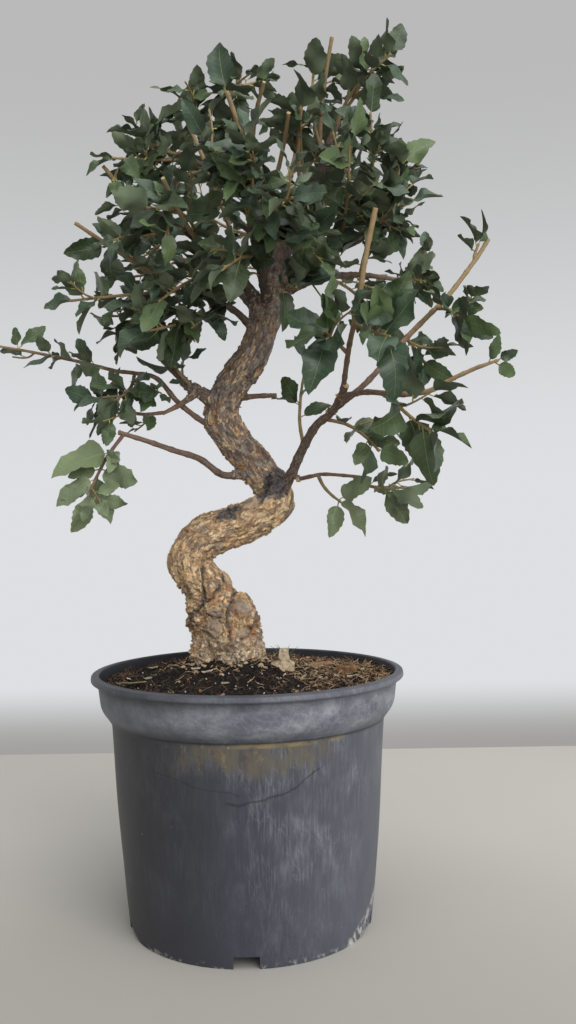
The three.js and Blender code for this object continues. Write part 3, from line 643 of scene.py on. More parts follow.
    def limed(self, bench: Bench, color: Socket, place: Socket, z: Socket) -> tuple[Socket, Socket]:
        """Lays a crust of lime along the slope of the right notch, a little along the foot, and specks.

        Args:
            bench: the bench of the material.
            color: the colour so far.
            place: coordinates on the pot.
            z: their third value.

        Returns:
            The limed colour, and a mask of the crust.
        """
        start, run = Vector((0.0755, -0.004, 0.026)), Vector((-0.018, -0.039, -0.026))
        off = bench.vector("SUBTRACT", place, tuple(start))
        part = bench.math("DIVIDE", bench.vector("DOT_PRODUCT", off, tuple(run)), run.length_squared)
        part = bench.math("MINIMUM", bench.highest(part, 0.0), 1.0)
        nearest = bench.node("ShaderNodeVectorMath", {0: tuple(run), "Scale": part},
                             operation="SCALE").outputs[0]
        side = bench.vector("DISTANCE", off, nearest)
        flecks = self.mask(bench, place, 240.0, 7.0, 0.44, 0.58)
        crust = bench.times(bench.spread(side, 0.0015, 0.0075, 1, 0), flecks)
        crust = bench.highest(crust, bench.times(bench.spread(side, 0.0, 0.0022, 1, 0), 0.8))
        foot = bench.times(bench.spread(z, 0.0005, 0.004, 1, 0),
                           self.mask(bench, place, 200.0, 5.0, 0.52, 0.66))
        crust = bench.highest(crust, bench.times(foot, 0.5))
        specks = bench.node("ShaderNodeTexVoronoi", {"Vector": place, "Scale": 105.0}).outputs["Distance"]
        specks = bench.times(bench.spread(specks, 0.03, 0.085, 1, 0),
                             self.mask(bench, place, 60.0, 2.0, 0.56, 0.64))
        crust = bench.highest(crust, bench.times(specks, 0.45))
        return bench.mix(crust, color, self.lime), crust


@dataclass(frozen=True)
class PottingSoil(Finish):
    """Dark damp growing medium with brown fibre in it."""

    wet: tuple = (0.008, 0.007, 0.007, 1)
    dry: tuple = (0.036, 0.027, 0.022, 1)
    fibre: tuple = (0.090, 0.055, 0.034, 1)

    def material(self) -> bpy.types.Material:
        """Builds the material."""
        material, bench, shader = start_material("potting_soil")
        place = bench.place()
        crumb = self.mask(bench, place, 520.0, 5.0, 0.42, 0.68)
        patch = self.mask(bench, place, 60.0, 3.0, 0.48, 0.7)
        tone = bench.attribute("tone")
        color = bench.mix(bench.times(crumb, bench.spread(tone, 0, 1, 0.4, 0.9)), self.wet, self.dry)
        color = bench.mix(bench.times(patch, crumb, 0.7), color, self.fibre)
        bench.feed(shader.inputs["Base Color"], color)
        set_gloss(shader, 0.93, 0.25)
        raise_bump(bench, shader, bench.noise(place, 900.0, 5, 0.7), 0.7, 0.9)
        return material


@dataclass(frozen=True)
class CorkBark(Finish):
    """Cork bark: tan and gold flakes low on the trunk, grey-brown with rust and pale flecks above; painted
    shade in its cracks and clefts, and from the crown at its top.
    """

    tan: tuple = (0.660, 0.455, 0.265, 1)
    pale: tuple = (0.900, 0.700, 0.440, 1)
    gold: tuple = (0.820, 0.550, 0.280, 1)
    grey: tuple = (0.370, 0.295, 0.225, 1)
    # Painted shade for the cracks, knot rings and flake edges
    edge: tuple = (0.130, 0.072, 0.040, 1)
    rust: tuple = (0.560, 0.290, 0.130, 1)
    brown: tuple = (0.235, 0.188, 0.160, 1)
    ash: tuple = (0.420, 0.365, 0.315, 1)
    # Colour of the dark patches, and painted shade in the clefts
    black: tuple = (0.022, 0.020, 0.024, 1)

    def material(self) -> bpy.types.Material:
        """Builds the material from coordinates that follow the stem."""
        material, bench, shader = start_material("cork_bark")
        place = bench.place()
        stem = bench.attribute("bark_place", "Vector")
        crack, plate = bench.attribute("crack"), bench.attribute("plate")
        knot, dark = bench.attribute("knot"), bench.attribute("dark")
        drift = bench.line(bench.noise(place, 60.0, 3), 0.026, -0.013)
        height = bench.plus(bench.separate(place)[2], drift)
        upper = bench.spread(height, 0.258, 0.268)
        small = self.flakes(bench, bench.stretch(stem, (1, 1, 0.45)), 0.60, 1.2, 0.11)
        tall = self.flakes(bench, bench.stretch(stem, (1, 1, 0.30)), 0.66, 1.1, 0.12)
        low = self.low(bench, place, height, plate, small)
        high = self.high(bench, place, height, plate, tall)
        color = bench.mix(upper, low, high)
        smooth = bench.mix(bench.noise(place, 260.0, 4), self.grey, (0.40, 0.335, 0.275, 1))
        color = bench.mix(bench.times(knot, 0.8), color, smooth)
        fine = bench.times(bench.minus(1.0, bench.times(knot, 0.7)),
                           bench.mix(upper, small.outputs["Edge"], tall.outputs["Edge"]))
        # Painted shade: the cracks, knot rings and flake edges are painted dark, as shade in the crevices
        edges = bench.highest(bench.times(crack, 0.80), bench.times(fine, 0.50))
        color = bench.mix(edges, color, bench.mix(upper, self.edge, (0.060, 0.045, 0.038, 1)))
        # Dark patches on the bark, and painted shade in the clefts, where the dark attribute marks them
        dark_patch_and_cleft_shade = bench.mix(bench.spread(bench.noise(place, 420.0, 6, 0.7), 0.38, 0.66), self.black,
                         (0.150, 0.140, 0.145, 1))
        color = bench.mix(bench.times(dark, 0.92), color, dark_patch_and_cleft_shade)
        bench.feed(shader.inputs["Base Color"], color)
        set_gloss(shader, 0.86, 0.25)
        relief = bench.mix(upper, small.outputs["Height"], tall.outputs["Height"])
        relief = bench.plus(relief, bench.times(bench.noise(place, 900.0, 4, 0.7), 0.35))
        relief = bench.minus(relief, bench.times(edges, 0.45))
        raise_bump(bench, shader, relief, 0.65, 0.8)
        return material

    def flakes(self, bench: Bench, vector: Socket, scale: float, ragged: float,
               width: float) -> bpy.types.Node:
        """Places the shared group of flakes."""
        return bench.effect(self.effects.flakes,
                            {"Vector": vector, "Scale": scale, "Ragged": ragged, "Width": width})

    def low(self, bench: Bench, place: Socket, height: Socket, plate: Socket,
            small: bpy.types.Node) -> Socket:
        """Colours the lower trunk.

        Args:
            bench: the bench of the material.
            place: coordinates on the piece.
            height: the height above the table, in metres.
            plate: the tone of the plate.
            small: the small flakes.

        Returns:
            The colour.
        """
        tone = small.outputs["Tone"]
        color = bench.mix(bench.spread(plate, 0.12, 0.42), self.grey, self.tan)
        color = bench.mix(bench.spread(plate, 0.60, 0.92), color, self.gold)
        patch = bench.times(self.mask(bench, place, 75.0, 5.0, 0.50, 0.64), 0.50)
        color = bench.mix(patch, color, self.grey)
        color = bench.mix(bench.spread(tone, 0.52, 0.80, 0, 0.72), color, self.pale)
        color = bench.mix(bench.spread(tone, 0.34, 0.10, 0, 0.62), color, (0.21, 0.150, 0.105, 1))
        burl = bench.spread(height, 0.208, 0.194)
        rust = bench.times(self.mask(bench, place, 120.0, 5.0, 0.50, 0.62),
                           bench.spread(burl, 0, 1, 0.30, 0.85))
        color = bench.mix(rust, color, self.rust)
        cast = bench.times(self.mask(bench, place, 95.0, 5.0, 0.49, 0.62), burl)
        color = bench.mix(bench.times(cast, 0.9), color, (0.150, 0.110, 0.085, 1))
        foot = bench.times(bench.spread(height, 0.176, 0.160), bench.spread(tone, 0.3, 0.7, 0.35, 0.9))
        return bench.mix(foot, color, bench.mix(plate, (0.42, 0.34, 0.25, 1), (0.84, 0.72, 0.54, 1)))

    def high(self, bench: Bench, place: Socket, height: Socket, plate: Socket,
             tall: bpy.types.Node) -> Socket:
        """Colours the upper trunk, with painted shade from the crown at its top.

        Args:
            bench: the bench of the material.
            place: coordinates on the piece.
            height: the height above the table, in metres.
            plate: the tone of the plate.
            tall: the flakes drawn out along the stem.

        Returns:
            The colour.
        """
        tone = tall.outputs["Tone"]
        color = bench.mix(bench.spread(tone, 0.10, 0.55), self.brown, self.ash)
        color = bench.mix(bench.spread(plate, 0.45, 0.85, 0, 0.65), color, self.brown)
        warm = bench.spread(height, 0.385, 0.330, 0.50, 0.95)
        fleck = bench.times(bench.spread(tone, 0.56, 0.66), warm)
        fleck = bench.times(fleck, self.mask(bench, place, 85.0, 5.0, 0.36, 0.50))
        hue = bench.mix(bench.spread(bench.noise(place, 220.0, 3), 0.42, 0.56), self.rust,
                        (0.800, 0.600, 0.370, 1))
        color = bench.mix(fleck, color, hue)
        glow = bench.times(self.mask(bench, place, 60.0, 5.0, 0.50, 0.64),
                           bench.spread(height, 0.330, 0.300, 0, 0.40))
        color = bench.mix(glow, color, (0.300, 0.150, 0.090, 1))
        # Darker from 300 to 350 mm up, then painted shade from the crown darkens the top of the trunk
        color = bench.mix(bench.spread(height, 0.300, 0.350, 0, 0.30), color, (0.105, 0.080, 0.066, 1))
        return bench.mix(bench.spread(height, 0.376, 0.408, 0, 0.70), color, (0.050, 0.037, 0.032, 1))


@dataclass(frozen=True)
class TwigBark(Finish):
    """Bark of limbs and shoots: grey-brown where old, red-brown and ochre where young, with painted shade on
    old wood inside the crown.
    """

    name: str = "twig_bark"
    old: tuple = (0.215, 0.165, 0.132, 1)
    middle: tuple = (0.185, 0.112, 0.078, 1)
    young: tuple = (0.275, 0.198, 0.098, 1)
    cut: tuple = (0.420, 0.340, 0.200, 1)

    def material(self) -> bpy.types.Material:
        """Builds the material from coordinates that follow the stem."""
        material, bench, shader = start_material(self.name)
        place = bench.place()
        stem = bench.attribute("bark_place", "Vector")
        age = bench.attribute("stem_age")
        drift = bench.line(bench.noise(place, 22.0, 2), 0.36, -0.18)
        color = bench.mix(bench.spread(bench.plus(age, drift), 0.04, 0.26), self.young, self.middle)
        color = bench.mix(bench.spread(age, 0.2, 0.75), color, self.old)
        grain = bench.noise(bench.stretch(stem, (1.3, 1.3, 0.28)), 1.0, 5, 0.62)
        color = bench.mix(bench.spread(grain, 0.42, 0.68, 0, bench.spread(age, 0.05, 0.3, 0.15, 0.6)), color,
                          (0.28, 0.225, 0.180, 1))
        patch = self.mask(bench, place, 240.0, 4.0, 0.46, 0.68)
        color = bench.mix(bench.times(patch, bench.spread(age, 0.03, 0.2, 0.25, 0.55)), color,
                          (0.075, 0.052, 0.042, 1))
        inputs = {"Vector": bench.stretch(stem, (1, 1, 0.35)), "Scale": 0.8, "Width": 0.15, "Wander": 1.0}
        split = bench.effect(self.effects.cracks, inputs).outputs["Mask"]
        split = bench.times(split, bench.spread(age, 0.15, 0.6, 0.0, 0.75))
        color = bench.mix(split, color, (0.028, 0.020, 0.017, 1))
        # Painted shade: older wood near the crown's middle is painted darker
        away = bench.vector("DISTANCE", place, (0.016, 0.0, 0.415))
        inside = bench.times(bench.spread(away, 0.090, 0.035, 0, 0.75), bench.spread(age, 0.10, 0.35))
        color = bench.mix(inside, color, (0.042, 0.030, 0.025, 1))
        color = bench.mix(bench.attribute("stem_cut"), color, self.cut)
        bench.feed(shader.inputs["Base Color"], color)
        set_gloss(shader, 0.78, 0.3)
        raise_bump(bench, shader, bench.minus(grain, split), 0.35, 0.8)
        return material


@dataclass(frozen=True)
class OakLeaf(Finish):
    """Leathery leaf: glossy dark green above, felted grey-green under, with pale veins; painted shade darkens
    the undersides of all but the pale leaves, and the leaves deep in the crown.
    """

    name: str = "oak_leaf"
    deep: tuple = (0.018, 0.036, 0.013, 1)
    bright: tuple = (0.088, 0.140, 0.054, 1)
    blue: tuple = (0.036, 0.068, 0.042, 1)
    light: tuple = (0.310, 0.370, 0.215, 1)
    under: tuple = (0.230, 0.265, 0.180, 1)
    rib: tuple = (0.300, 0.350, 0.150, 1)
    stalk: tuple = (0.330, 0.310, 0.110, 1)

    def material(self) -> bpy.types.Material:
        """Builds the material from the blade's own coordinates."""
        material, bench, shader = start_material(self.name)
        along = bench.attribute("blade_u")
        across = bench.attribute("blade_v")
        tone = bench.attribute("tone")
        pale = bench.attribute("pale")
        lower = bench.spread(bench.attribute("blade_side"), -0.02, 0.0, 1, 0)
        place = bench.place()
        color = bench.mix(bench.spread(tone, 0.1, 0.9), self.deep, self.bright)
        cool = bench.spread(bench.math("FRACT", bench.times(tone, 7.3)), 0.3, 0.8)
        color = bench.mix(cool, color, self.blue)
        # Painted shade: leaves deep in the crown are painted darker
        color = bench.mix(bench.times(bench.attribute("shade"), 0.35), color, (0.008, 0.015, 0.007, 1))
        color = bench.mix(pale, color, self.light)
        cloud = self.mask(bench, place, 190.0, 4.0, 0.38, 0.66)
        color = bench.mix(bench.times(cloud, bench.spread(pale, 0, 1, 0.10, 0.5)), color,
                          bench.mix(bench.spread(pale, 0, 1, 0.35, 0.6), color, (0.150, 0.205, 0.095, 1)))
        veins = bench.effect(self.effects.veins, {"Along": along, "Across": across, "Pairs": 7.5})
        lines = bench.times(veins.outputs["Side Veins"], bench.spread(pale, 0, 1, 0.22, 0.85))
        top = bench.mix(lines, color, bench.mix(0.55, color, self.rib))
        top = bench.mix(bench.times(veins.outputs["Net"], 0.06), top, self.rib)
        middle = bench.times(veins.outputs["Midrib"], bench.spread(pale, 0, 1, 0.45, 0.9))
        top = bench.mix(middle, top, self.rib)
        base = bench.mix(bench.times(veins.outputs["Side Veins"], 0.45), self.under, self.rib)
        base = bench.mix(veins.outputs["Midrib"], base, (0.32, 0.37, 0.19, 1))
        # Painted shade: the undersides of all but the pale leaves are painted dark green
        base = bench.mix(bench.spread(pale, 0, 1, 0.80, 0), base, (0.062, 0.090, 0.048, 1))
        color = bench.mix(lower, top, base)
        color = bench.mix(bench.attribute("stalk"), color, self.stalk)
        bench.feed(shader.inputs["Base Color"], color)
        gloss = bench.spread(cloud, 0, 1, 0.33, 0.48)
        bench.feed(shader.inputs["Roughness"], bench.highest(gloss, bench.times(lower, 0.85)))
        shader.inputs["Specular IOR Level"].default_value = 0.36
        shader.inputs["Sheen Weight"].default_value = 0.05
        relief = bench.times(bench.plus(veins.outputs["Midrib"], lines), -1.0)
        relief = bench.plus(relief, bench.times(bench.noise(place, 420.0, 3), 0.7))
        raise_bump(bench, shader, relief, 0.22, 0.7)
        return material


@dataclass(frozen=True)
class Debris(Finish):
    """Rough dry matter with a tone for each piece: perlite, straw, litter, wood."""

    name: str
    first: tuple
    second: tuple
    dirt: tuple
    grain: float
    bump: float = 0.3
    dirty: float = 0.5

    def material(self) -> bpy.types.Material:
        """Builds the material."""
        material, bench, shader = start_material(self.name)
        place = bench.place()
        color = bench.mix(bench.attribute("tone"), self.first, self.second)
        patch = self.mask(bench, place, self.grain, 5.0, 0.42, 0.66)
        color = bench.mix(bench.times(patch, self.dirty), color, self.dirt)
        bench.feed(shader.inputs["Base Color"], color)
        set_gloss(shader, 0.88, 0.3)
        raise_bump(bench, shader, bench.noise(place, self.grain * 2.5, 4, 0.65), self.bump, 0.8)
        return material


# Geometry


def unit(vectors: np.ndarray) -> np.ndarray:
    """Gives vectors of length 1 along the last axis."""
    return vectors / np.linalg.norm(vectors, axis=-1, keepdims=True)


def around(sides: int) -> np.ndarray:
    """Gives the angles of even steps round a circle."""
    return np.arange(sides) / sides * math.tau


def ring_of(radius: np.ndarray | float, height: float, angle: np.ndarray) -> np.ndarray:
    """Gives the points of a level ring."""
    return np.stack([radius * np.cos(angle), radius * np.sin(angle), np.full_like(angle, height)], 1)


def spun(first: np.ndarray, second: np.ndarray, angle: float) -> tuple[np.ndarray, np.ndarray]:
    """Turns pairs of coordinates by an angle."""
    cosine, sine = math.cos(angle), math.sin(angle)
    return first * cosine - second * sine, first * sine + second * cosine


def clamp(value: float, low: float = 0) -> float:
    """Keeps a value between a lower limit and 1."""
    return min(max(value, low), 1)


def finder_of(points: np.ndarray) -> KDTree:
    """Makes a finder of the nearest among points.

    Args:
        points: the points.

    Returns:
        The finder.
    """
    finder = KDTree(len(points))
    for index, point in enumerate(points):
        finder.insert(point, index)
    finder.balance()
    return finder


def draws(seed: int) -> Iterator[float]:
    """Yields even draws between 0 and 1, the same for a seed each time.

    Args:
        seed: the seed.

    Returns:
        The endless stream of draws.
    """
    mask = 0xFFFFFFFF
    state = seed & mask
    while True:
        state = (state + 0x6D2B79F5) & mask
        mixed = ((state ^ (state >> 15)) * (state | 1)) & mask
        mixed ^= (mixed + (((mixed ^ (mixed >> 7)) * (mixed | 61)) & mask)) & mask
        yield (mixed ^ (mixed >> 14)) / 4294967296


@dataclass(frozen=True)
class Path:
    """A smooth curve through points."""

    points: np.ndarray

    @classmethod
    def through(cls, points: list | tuple) -> "Path":
        """Makes the curve through a list of points."""
        return cls(np.array(points, float))

    def at(self, places: np.ndarray | float) -> np.ndarray:
        """Gives points of the curve.

        Args:
            places: from 0 at the first point to 1 at the last.

        Returns:
            One point for each place.
        """
        points = self.points
        count = len(points) - 1
        spot = np.clip(np.atleast_1d(np.asarray(places, float)), 0, 1) * count
        index = np.minimum(np.floor(spot).astype(int), count - 1)
        step = (spot - index)[:, None]
        start, end = points[index], points[index + 1]
        before = np.where((index > 0)[:, None], points[np.maximum(index - 1, 0)], 2 * points[0] - points[1])
        after = np.where((index + 2 <= count)[:, None], points[np.minimum(index + 2, count)],
                         2 * points[-1] - points[-2])
        leave, arrive = 0.5 * (end - before), 0.5 * (after - start)
        return (start + leave * step + (3 * (end - start) - 2 * leave - arrive) * step**2
                + (2 * (start - end) + leave + arrive) * step**3)

    def frame_at(self, place: float) -> Iterator[np.ndarray]:
        """Gives one point, the direction there and two axes across."""
        return (part[0] for part in self.axes(np.array([place])))

    def axes(self, places: np.ndarray, reach: float = 0.004) -> tuple[np.ndarray, ...]:
        """Gives axes across the curve, carried along it without twist.

        Args:
            places: from 0 to 1, in order.
            reach: the length of curve that the direction is taken over.

        Returns:
            The points, their directions, and two axes across.
        """
        places = np.atleast_1d(places)
        along = unit(self.at(places + reach) - self.at(places - reach))
        side = np.array([1.0, 0, 0]) if abs(along[0][0]) < 0.8 else np.array([0, 1.0, 0])
        sides = np.empty_like(along)
        for row, direction in enumerate(along):
            side = unit(side - direction * (side @ direction))
            sides[row] = side
        return self.at(places), along, sides, np.cross(along, sides)

    def even(self, spacing: float) -> tuple[np.ndarray, np.ndarray]:
        """Walks the curve in even steps.

        Args:
            spacing: the length of a step.

        Returns:
            The places, and the length walked at each.
        """
        dense = np.linspace(0, 1, 400)
        walked = np.concatenate([[0], np.cumsum(np.linalg.norm(np.diff(self.at(dense), axis=0), axis=1))])
        count = max(int(round(walked[-1] / spacing)), 3)
        lengths = np.linspace(0, walked[-1], count + 1)
        return np.interp(lengths, walked, dense), lengths


def new_mesh(name: str, points: np.ndarray, faces: list, attributes: dict | None = None,
             edges: list = ()) -> bpy.types.Mesh:
    """Makes a mesh.

    Args:
        name: its name.
        points: vertices in millimetres.
        faces: corners of each face.
        attributes: values of each point attribute.
        edges: pairs of vertices, where there are no faces.

    Returns:
        The mesh in metres.
    """
    mesh = bpy.data.meshes.new(name)
    mesh.from_pydata((np.asarray(points) * MM).tolist(), list(edges), faces)
    for label, values in (attributes or {}).items():
        values = np.asarray(values, np.float32)
        flat = values.ndim == 1
        layer = mesh.attributes.new(label, "FLOAT" if flat else "FLOAT_VECTOR", "POINT")
        layer.data.foreach_set("value" if flat else "vector", values.ravel())
    mesh.update()
    return mesh


def points_of(mesh: bpy.types.Mesh) -> np.ndarray:
    """Gives a mesh's vertices in millimetres.

    Args:
        mesh: the mesh.

    Returns:
        One row for each vertex.
    """
    flat = np.empty(len(mesh.vertices) * 3, np.float32)
    mesh.vertices.foreach_get("co", flat)
    return flat.reshape(-1, 3).astype(float) / MM


def lathe_faces(rows: int, sides: int, closed: bool) -> list:
    """Gives the faces between rings of vertices.

    Args:
        rows: number of rings.
        sides: vertices in a ring.
        closed: True closes both ends with a vertex each, which follow the rings.

    Returns:
        The faces, with their fronts outside where the rings turn about the way they follow.
    """
    faces = []
    for row in range(rows - 1):
        for side in range(sides):
            a, b = row * sides + side, row * sides + (side + 1) % sides
            faces.append((a, b, b + sides, a + sides))
    if closed:
        first, last, top = rows * sides, rows * sides + 1, (rows - 1) * sides
        for side in range(sides):
            following = (side + 1) % sides
            faces.append((first, following, side))
            faces.append((last, top + side, top + following))
    return faces


def put(name: str, data: bpy.types.ID) -> bpy.types.Object:
    """Puts a new object with its data in the scene.

    Args:
        name: its name.
        data: its mesh, light or camera.

    Returns:
        The object.
    """
    made = bpy.data.objects.new(name, data)
    bpy.context.scene.collection.objects.link(made)
    return made


def temporary(mesh: bpy.types.Mesh) -> bpy.types.Object:
    """Puts a mesh in the scene as a working object."""
    return put(f"work_{mesh.name}", mesh)


def baked(holder: bpy.types.Object) -> bpy.types.Mesh:
    """Turns a working object and its modifiers into a plain mesh, and removes the object.

    Args:
        holder: the working object.

    Returns:
        The plain mesh.
    """
    depsgraph = bpy.context.evaluated_depsgraph_get()
    mesh = bpy.data.meshes.new_from_object(holder.evaluated_get(depsgraph), preserve_all_data_layers=True,
                                           depsgraph=depsgraph)
    holder.modifiers.clear()
    bpy.data.objects.remove(holder)
    return mesh


def settle(name: str, mesh: bpy.types.Mesh, material: bpy.types.Material, slot: Slot, *nodes: str,
           crease: float = 35) -> bpy.types.Object:
    """Makes a finished piece of the part.

    Args:
        name: the piece's name.
        mesh: its mesh, in place.
        material: its finish.
        slot: the record's slot of that finish; not used.
        nodes: the solids that it stands for.
        crease: edges sharper than this many degrees stay sharp.

    Returns:
        The object.
    """
    mesh.name = name
    mesh.materials.clear()
    mesh.materials.append(material)
    mesh.polygons.foreach_set("use_smooth", [True] * len(mesh.polygons))
    mesh.set_sharp_from_angle(angle=math.radians(crease))
    piece = put(name, mesh)
    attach(piece, "root")
    if nodes:
        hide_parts(*nodes)
    log.info("%s: %d faces", name, len(mesh.polygons))
    return piece


class Recipe:
    """A Geometry Nodes tree that grows one kind of repeated or swept piece."""

    def __init__(self, name: str, inputs: list[tuple]) -> None:
        """Starts the tree with its named inputs.

        Args:
            name: the tree's name.
            inputs: name, socket type and default of each input.
        """
        sockets = [("Geometry", "NodeSocketGeometry", None), *inputs,
                   ("Material", "NodeSocketMaterial", None)]
        made = new_group(name, "GeometryNodeTree", sockets, [("Geometry", "NodeSocketGeometry")])
        self.group, self.bench, self.source, self.sink = made

    def finish(self, geometry: Socket) -> None:
        """Ends the tree in Realize Instances and Set Material.

        Args:
            geometry: what the tree has made.
        """
        solid = self.bench.node("GeometryNodeRealizeInstances", {0: geometry}).outputs[0]
        inputs = {"Geometry": solid, "Material": self.source.outputs["Material"]}
        done = self.bench.node("GeometryNodeSetMaterial", inputs)
        self.bench.feed(self.sink.inputs[0], done.outputs[0])

    def grow(self, mesh: bpy.types.Mesh, **values: object) -> bpy.types.Mesh:
        """Runs the tree on a mesh.

        Args:
            mesh: what the pieces grow from.
            values: the tree's inputs, with _ for the spaces in their names.

        Returns:
            The grown mesh.
        """
        holder = temporary(mesh)
        modifier = holder.modifiers.new("grow", "NODES")
        modifier.node_group = self.group
        for item in self.group.interface.items_tree:
            key = item.name.replace(" ", "_").lower()
            if item.item_type == "SOCKET" and item.in_out == "INPUT" and key in values:
                modifier[item.identifier] = values[key]
        return baked(holder)


class StemRecipe(Recipe):
    """Sweeps round stems along lines, with rough bark on them."""

    def __init__(self) -> None:
        """Builds the tree."""
        super().__init__("grow_stems", [("Sides", "NodeSocketInt", 8), ("Bark Depth", FLOAT, 0.0001),
                                        ("Bark Grain", FLOAT, 0.5)])
        bench, source = self.bench, self.source
        curve = bench.node("GeometryNodeMeshToCurve", {0: source.outputs["Geometry"]}).outputs[0]
        length = bench.node("GeometryNodeSplineParameter").outputs["Length"]
        curve = bench.store(curve, "stem_length", length)
        circle = bench.node("GeometryNodeCurvePrimitiveCircle",
                            {"Resolution": source.outputs["Sides"], "Radius": 1.0}).outputs[0]
        spot = bench.node("GeometryNodeInputPosition").outputs[0]
        circle = bench.store(circle, "ring_place", spot, "FLOAT_VECTOR")
        radius = bench.named("stem_radius")
        swept = bench.node("GeometryNodeCurveToMesh",
                           {"Curve": curve, "Profile Curve": circle, "Scale": radius,
                                                       "Fill Caps": True}).outputs[0]
        ring = bench.vector("SCALE", bench.named("ring_place", "FLOAT_VECTOR"), radius)
        rise = bench.combine(0.0, 0.0, bench.named("stem_length"))
        place = bench.vector("SCALE", bench.vector("ADD", ring, rise), 1000.0)
        swept = bench.store(swept, "bark_place", place, "FLOAT_VECTOR")
        rough = bench.node("ShaderNodeTexNoise", {"Vector": bench.named("bark_place", "FLOAT_VECTOR"),
                                                  "Scale": source.outputs["Bark Grain"], "Detail": 3.0})
        depth = bench.times(bench.minus(rough.outputs["Fac"], 0.5), source.outputs["Bark Depth"])
        depth = bench.times(depth, bench.times(bench.named("stem_radius"), 1000.0))
        normal = bench.node("GeometryNodeInputNormal").outputs["Normal"]
        offset = bench.vector("SCALE", normal, depth)
        self.finish(bench.node("GeometryNodeSetPosition", {"Geometry": swept, "Offset": offset}).outputs[0])


class LeafRecipe(Recipe):
    """Sets a flat blade pattern on points and bends each blade by the values of its point."""

    def __init__(self) -> None:
        """Builds the tree."""
        super().__init__("grow_leaves",
                         [("Blade Pattern", "NodeSocketObject", None), ("Stalk Length", FLOAT, 0.0034)])
        bench, source = self.bench, self.source
        pattern = bench.node("GeometryNodeObjectInfo", {"Object": source.outputs["Blade Pattern"]})
        placed = bench.node("GeometryNodeInstanceOnPoints", {"Points": source.outputs["Geometry"],
                                                             "Instance": pattern.outputs["Geometry"]})
        blades = bench.node("GeometryNodeRealizeInstances", {0: placed.outputs[0]}).outputs[0]
        length = bench.named("blade_length")
        self.finish(bench.node("GeometryNodeSetPosition",
                               {"Geometry": blades, "Position": self.place(length)}).outputs[0])

    def place(self, length: Socket) -> Socket:
        """Works out where each point of a blade goes.

        Args:
            length: the blade's length.

        Returns:
            The place.
        """
        bench = self.bench
        u, v = bench.named("blade_u"), bench.named("blade_v")
        wide = bench.times(v, bench.named("blade_width"))
        out = bench.math("ABSOLUTE", wide)
        arch = bench.times(u, u, bench.named("arch"))
        curl = bench.times(out, bench.named("curl"))
        fold = bench.times(out, bench.plus(bench.named("fold"), curl))
        turn = bench.math("SINE", bench.line(u, 9.0, bench.named("wave_phase")))
        ripple = bench.times(turn, bench.named("wave_height"), bench.math("SIGN", v))
        ripple = bench.times(ripple, bench.math("MINIMUM", bench.times(out, 4.0), 1.0))
        lift = bench.plus(bench.minus(fold, arch), ripple)
        lift = bench.line(lift, length, bench.named("rim_face"))
        side = bench.line(wide, length, bench.named("rim_across"))
        angle = bench.times(u, bench.named("twist"))
        across = bench.vector("CROSS_PRODUCT", bench.named("blade_face", "FLOAT_VECTOR"),
                              bench.named("blade_along", "FLOAT_VECTOR"))
        cosine, sine = bench.math("COSINE", angle), bench.math("SINE", angle)
        over = bench.minus(bench.times(side, cosine), bench.times(lift, sine))
        up = bench.plus(bench.times(side, sine), bench.times(lift, cosine))
        reach = bench.times(bench.named("stalk_place"), self.source.outputs["Stalk Length"])
        reach = bench.plus(reach, bench.times(u, length))
        spot = bench.vector("SCALE", bench.named("blade_along", "FLOAT_VECTOR"), reach)
        spot = bench.vector("ADD", spot, bench.vector("SCALE", across, over))
        spot = bench.vector("ADD", spot, bench.vector("SCALE", bench.named("blade_face", "FLOAT_VECTOR"), up))
        return bench.vector("ADD", bench.named("foot", "FLOAT_VECTOR"), spot)


class ScatterRecipe(Recipe):
    """Strews a small pattern over a surface."""

    def __init__(self) -> None:
        """Builds the tree."""
        super().__init__("strew", [("Pattern", "NodeSocketObject", None), ("Density", FLOAT, 1000.0),
                                   ("Seed", "NodeSocketInt", 1), ("Smallest", FLOAT, 0.5),
                                   ("Largest", FLOAT, 1.5),
                                   ("Lean", FLOAT, 0.5), ("Sink", FLOAT, 0.0)])
        bench, source = self.bench, self.source
        density = bench.times(source.outputs["Density"], bench.named("bed_weight"))
        strewn = bench.node("GeometryNodeDistributePointsOnFaces",
                            {"Mesh": source.outputs["Geometry"], "Density": density,
                             "Seed": source.outputs["Seed"]})
        down = bench.combine(0.0, 0.0, bench.times(source.outputs["Sink"], -1.0))
        points = bench.node("GeometryNodeSetPosition",
                            {"Geometry": strewn.outputs["Points"], "Offset": down}).outputs[0]
        points = bench.store(points, "tone", self.random(0.0, 1.0, 7))
        lean = source.outputs["Lean"]
        back = bench.times(lean, -1.0)
        turn = bench.combine(self.random(back, lean, 1), self.random(back, lean, 2),
                             self.random(0.0, 6.283, 3))
        rotation = bench.node("FunctionNodeEulerToRotation", {0: turn}).outputs[0]
        small, large = source.outputs["Smallest"], source.outputs["Largest"]
        size = bench.combine(self.random(small, large, 4), self.random(small, large, 5),
                             self.random(small, large, 6))
        pattern = bench.node("GeometryNodeObjectInfo",
                             {"Object": source.outputs["Pattern"]}).outputs["Geometry"]
        placed = bench.node("GeometryNodeInstanceOnPoints", {"Points": points, "Instance": pattern,
                                                             "Rotation": rotation, "Scale": size})
        self.finish(placed.outputs[0])

    def random(self, low: object, high: object, step: int) -> Socket:
        """Gives a random value for each point, from the seed and a step of its own.

        Args:
            low: the smallest value.
            high: the largest value.
            step: a number of its own.

        Returns:
            The value.
        """
        seed = self.bench.plus(self.source.outputs["Seed"], step * 10.0)
        node = self.bench.node("FunctionNodeRandomValue", data_type="FLOAT")
        for key, value in (("Min", low), ("Max", high), ("Seed", seed)):
            self.bench.feed(self.bench.socket(node.inputs, key), value)
        return next(one for one in node.outputs if one.enabled)


# Pot


